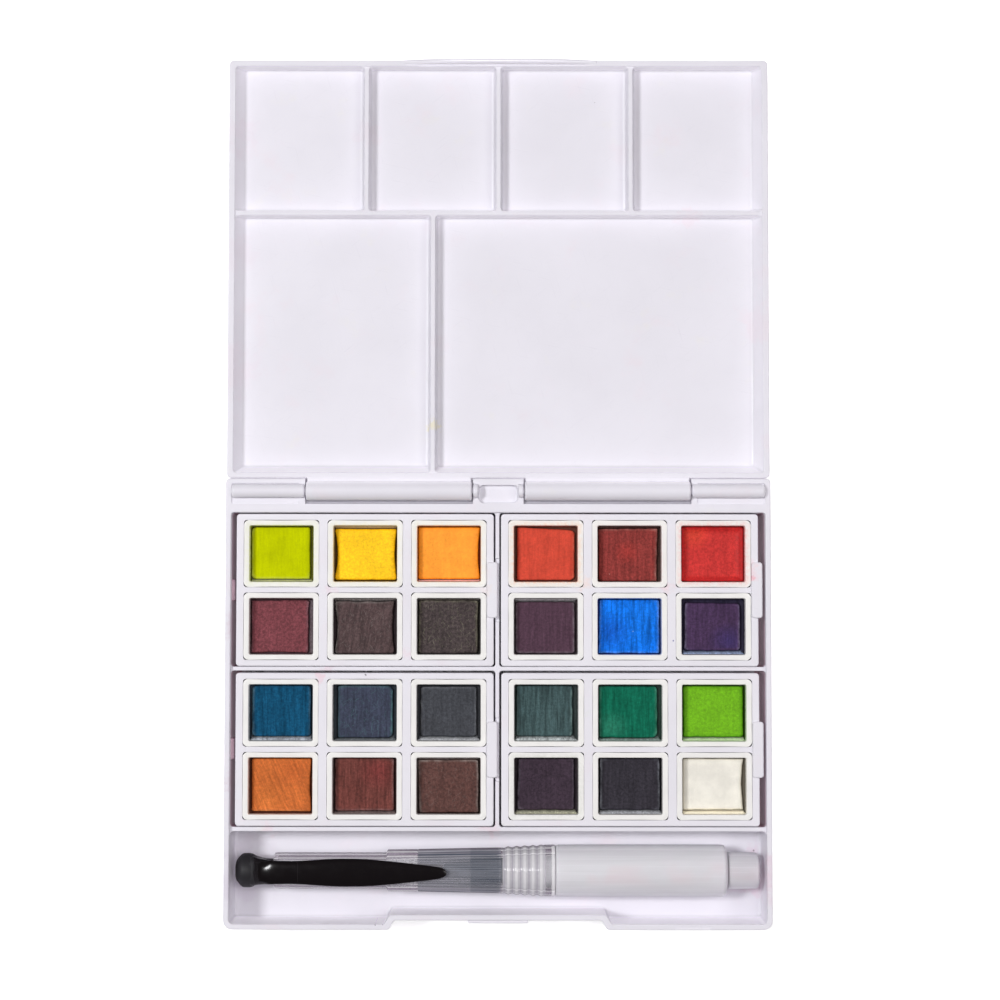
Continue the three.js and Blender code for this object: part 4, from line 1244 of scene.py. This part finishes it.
# Paint stains, each with its place, radius, colour and strength; some on the case are painted shade and
# shadow instead
CASE_STAINS_AND_SHADOWS = (
    # On the case, the mauve patches beside the left wall at y = -20 and 20 are painted shade, and the wide
    # ones at the trough's two ends are painted shadows of the left wall and of the brush's plug.
    (-44.5, 9.0, 2.2, "e3c3cf", 0.5), (-69.2, -20.0, 3.5, "c9a3b2", 0.35),
    (-69.2, 20.0, 4.0, "c9a3b2", 0.35), (-31.8, -57.3, 0.2, "2b2226", 0.9),
    (-29.8, -57.2, 0.16, "2b2226", 0.8), (-60.0, -33.0, 3.0, "ecc8d2", 0.35),
    (-2.0, -33.0, 4.0, "e8b8c4", 0.3), (67.5, -45.0, 8.0, "dcb6c8", 0.5),
    (67.9, -39.5, 0.25, "5a4048", 0.8), (-68.0, -45.0, 10.0, "c9bccf", 0.4),
)
LID_STAINS = (
    (-69.8, 88.0, 9.0, "e6cbd8", 0.2), (-69.9, 118.0, 8.0, "e6cbd8", 0.16),
    (-69.6, 150.0, 7.0, "e6cbd8", 0.2), (-17.2, 72.5, 2.2, "ecdf70", 0.35),
    (-34.8, 150.0, 4.5, "e8c6cf", 0.12), (50.0, 127.8, 4.0, "efc2cb", 0.15),
    (69.6, 100.0, 8.0, "ecd6de", 0.3),
)
TRAY_STAINS = {
    "rear_left": (
        (-43.8, 29.0, 2.2, "f0c3cf", 0.35), (-3.2, 29.0, 2.5, "f3dcc8", 0.25),
        (-24.0, 12.5, 2.5, "efc9d3", 0.3),
    ),
    "rear_right": (
        (66.5, 32.5, 0.8, "ef7f93", 0.6), (66.0, 34.5, 3.0, "f5cbd0", 0.5),
        (45.7, 16.2, 0.28, "2b3a8a", 0.9), (44.0, 30.0, 2.5, "f6c9cc", 0.4),
        (22.5, 31.0, 2.5, "f7d6c6", 0.45), (50.0, 20.6, 1.6, "ee8d98", 0.45),
    ),
    "front_left": (
        (-46.3, 6.8, 2.4, "eebfcb", 0.5), (-34.6, 7.3, 0.3, "2d2528", 0.9),
        (-60.0, -31.0, 2.0, "f0d2da", 0.3),
    ),
    "front_right": ((30.6, -29.9, 0.32, "332b2e", 0.9), (22.0, -2.0, 2.2, "dfe3dc", 0.35)),
}
CASE_GLOW = (0.25, 0.06, -32.6, -33.4)
LID_GLOW = (0.22, 0.12, 55.0, 57.0)

base_shell(plastic("case_white", "ebe9f0", 0.955, 0.42, 0.35, 0.22, CASE_STAINS_AND_SHADOWS, 1.0, CASE_GLOW))
lid_shell(plastic("lid_white", "ebe9f0", 0.96, 0.38, 0.35, 0.4, LID_STAINS, 5.0, LID_GLOW))
pan_plastic = pan_look()
paints = iter(PAINTS.items())
seed = 3.0
for tray, centre in TRAY_CENTRES.items():
    tray_body(tray, plastic(f"tray_white_{tray}", "eeecf2", 0.94, 0.42, 0.3, 0.2, TRAY_STAINS[tray], seed))
    for (x, y), (paint, cake) in zip(pan_places(*centre), paints):
        seed += 1.9
        pan_cup(paint, x, y, cake, pan_plastic)
        paint_cake(paint, x, y, cake, paint_look(paint, cake, seed), seed)
clip_cap(black_look())
clear_cap(clear_look())
milky = milky_look()
barrel(milky)
end_plug(milky)
nozzle(nozzle_look())
tuft(tuft_look())


# Stage, light and camera


def paper_floor():
    mesh = bpy.data.meshes.new("floor")
    reach = 9.0
    corners = [(-reach, -reach), (reach, -reach), (reach, reach), (-reach, reach)]
    mesh.from_pydata([(x, y, -0.0003) for x, y in corners], [], [(0, 1, 2, 3)])
    floor = bpy.data.objects.new("floor", mesh)
    bpy.context.scene.collection.objects.link(floor)
    look = Look("floor_white")
    look.set("Emission Color", (1, 1, 1, 1))
    look.set("Emission Strength", 0.45)
    mesh.materials.append(look.finish((0.93, 0.93, 0.93, 1), 0.9))


def area_light(name, place, target, size, power, colour, glossy=True):
    data = bpy.data.lights.new(name, "AREA")
    data.shape = "DISK"
    data.size = size
    data.energy = power
    data.color = colour
    light = bpy.data.objects.new(name, data)
    light.location = place
    light.rotation_mode = "QUATERNION"
    light.rotation_quaternion = (Vector(target) - Vector(place)).to_track_quat("-Z", "Y")
    light.visible_glossy = glossy
    bpy.context.scene.collection.objects.link(light)


def studio():
    scene = bpy.context.scene
    world = bpy.data.worlds.new("studio")
    scene.world = world
    world.use_nodes = True
    sky = world.node_tree.nodes["Background"]
    sky.inputs["Color"].default_value = (1.0, 0.965, 0.985, 1)
    sky.inputs["Strength"].default_value = 0.1
    area_light("key", (-0.74, 0.18, 1.28), (0, 0.02, 0), 0.3, 11.6, (0.98, 0.985, 1.0))
    area_light("fill", (0.8, 0.1, 1.2), (0, 0.02, 0), 0.5, 3.8, (1.0, 0.97, 0.985))
    area_light("top", (0.12, 0.08, 0.9), (0, 0.02, 0), 0.35, 2.6, (1.0, 0.975, 0.99), False)
    scene.view_settings.view_transform = "Standard"
    data = bpy.data.cameras.new("camera")
    data.lens = 82.65
    data.sensor_width = 36
    data.clip_start = 0.01
    camera = bpy.data.objects.new("camera", data)
    place, target = Vector((0.00045, 0.0217, 0.6152)), Vector((0.00045, 0.0529, 0.016))
    camera.location = place
    camera.rotation_mode = "QUATERNION"
    roll = Quaternion((0, 0, 1), math.radians(0.045))
    camera.rotation_quaternion = (target - place).to_track_quat("-Z", "Y") @ roll
    scene.collection.objects.link(camera)
    scene.camera = camera


paper_floor()
studio()
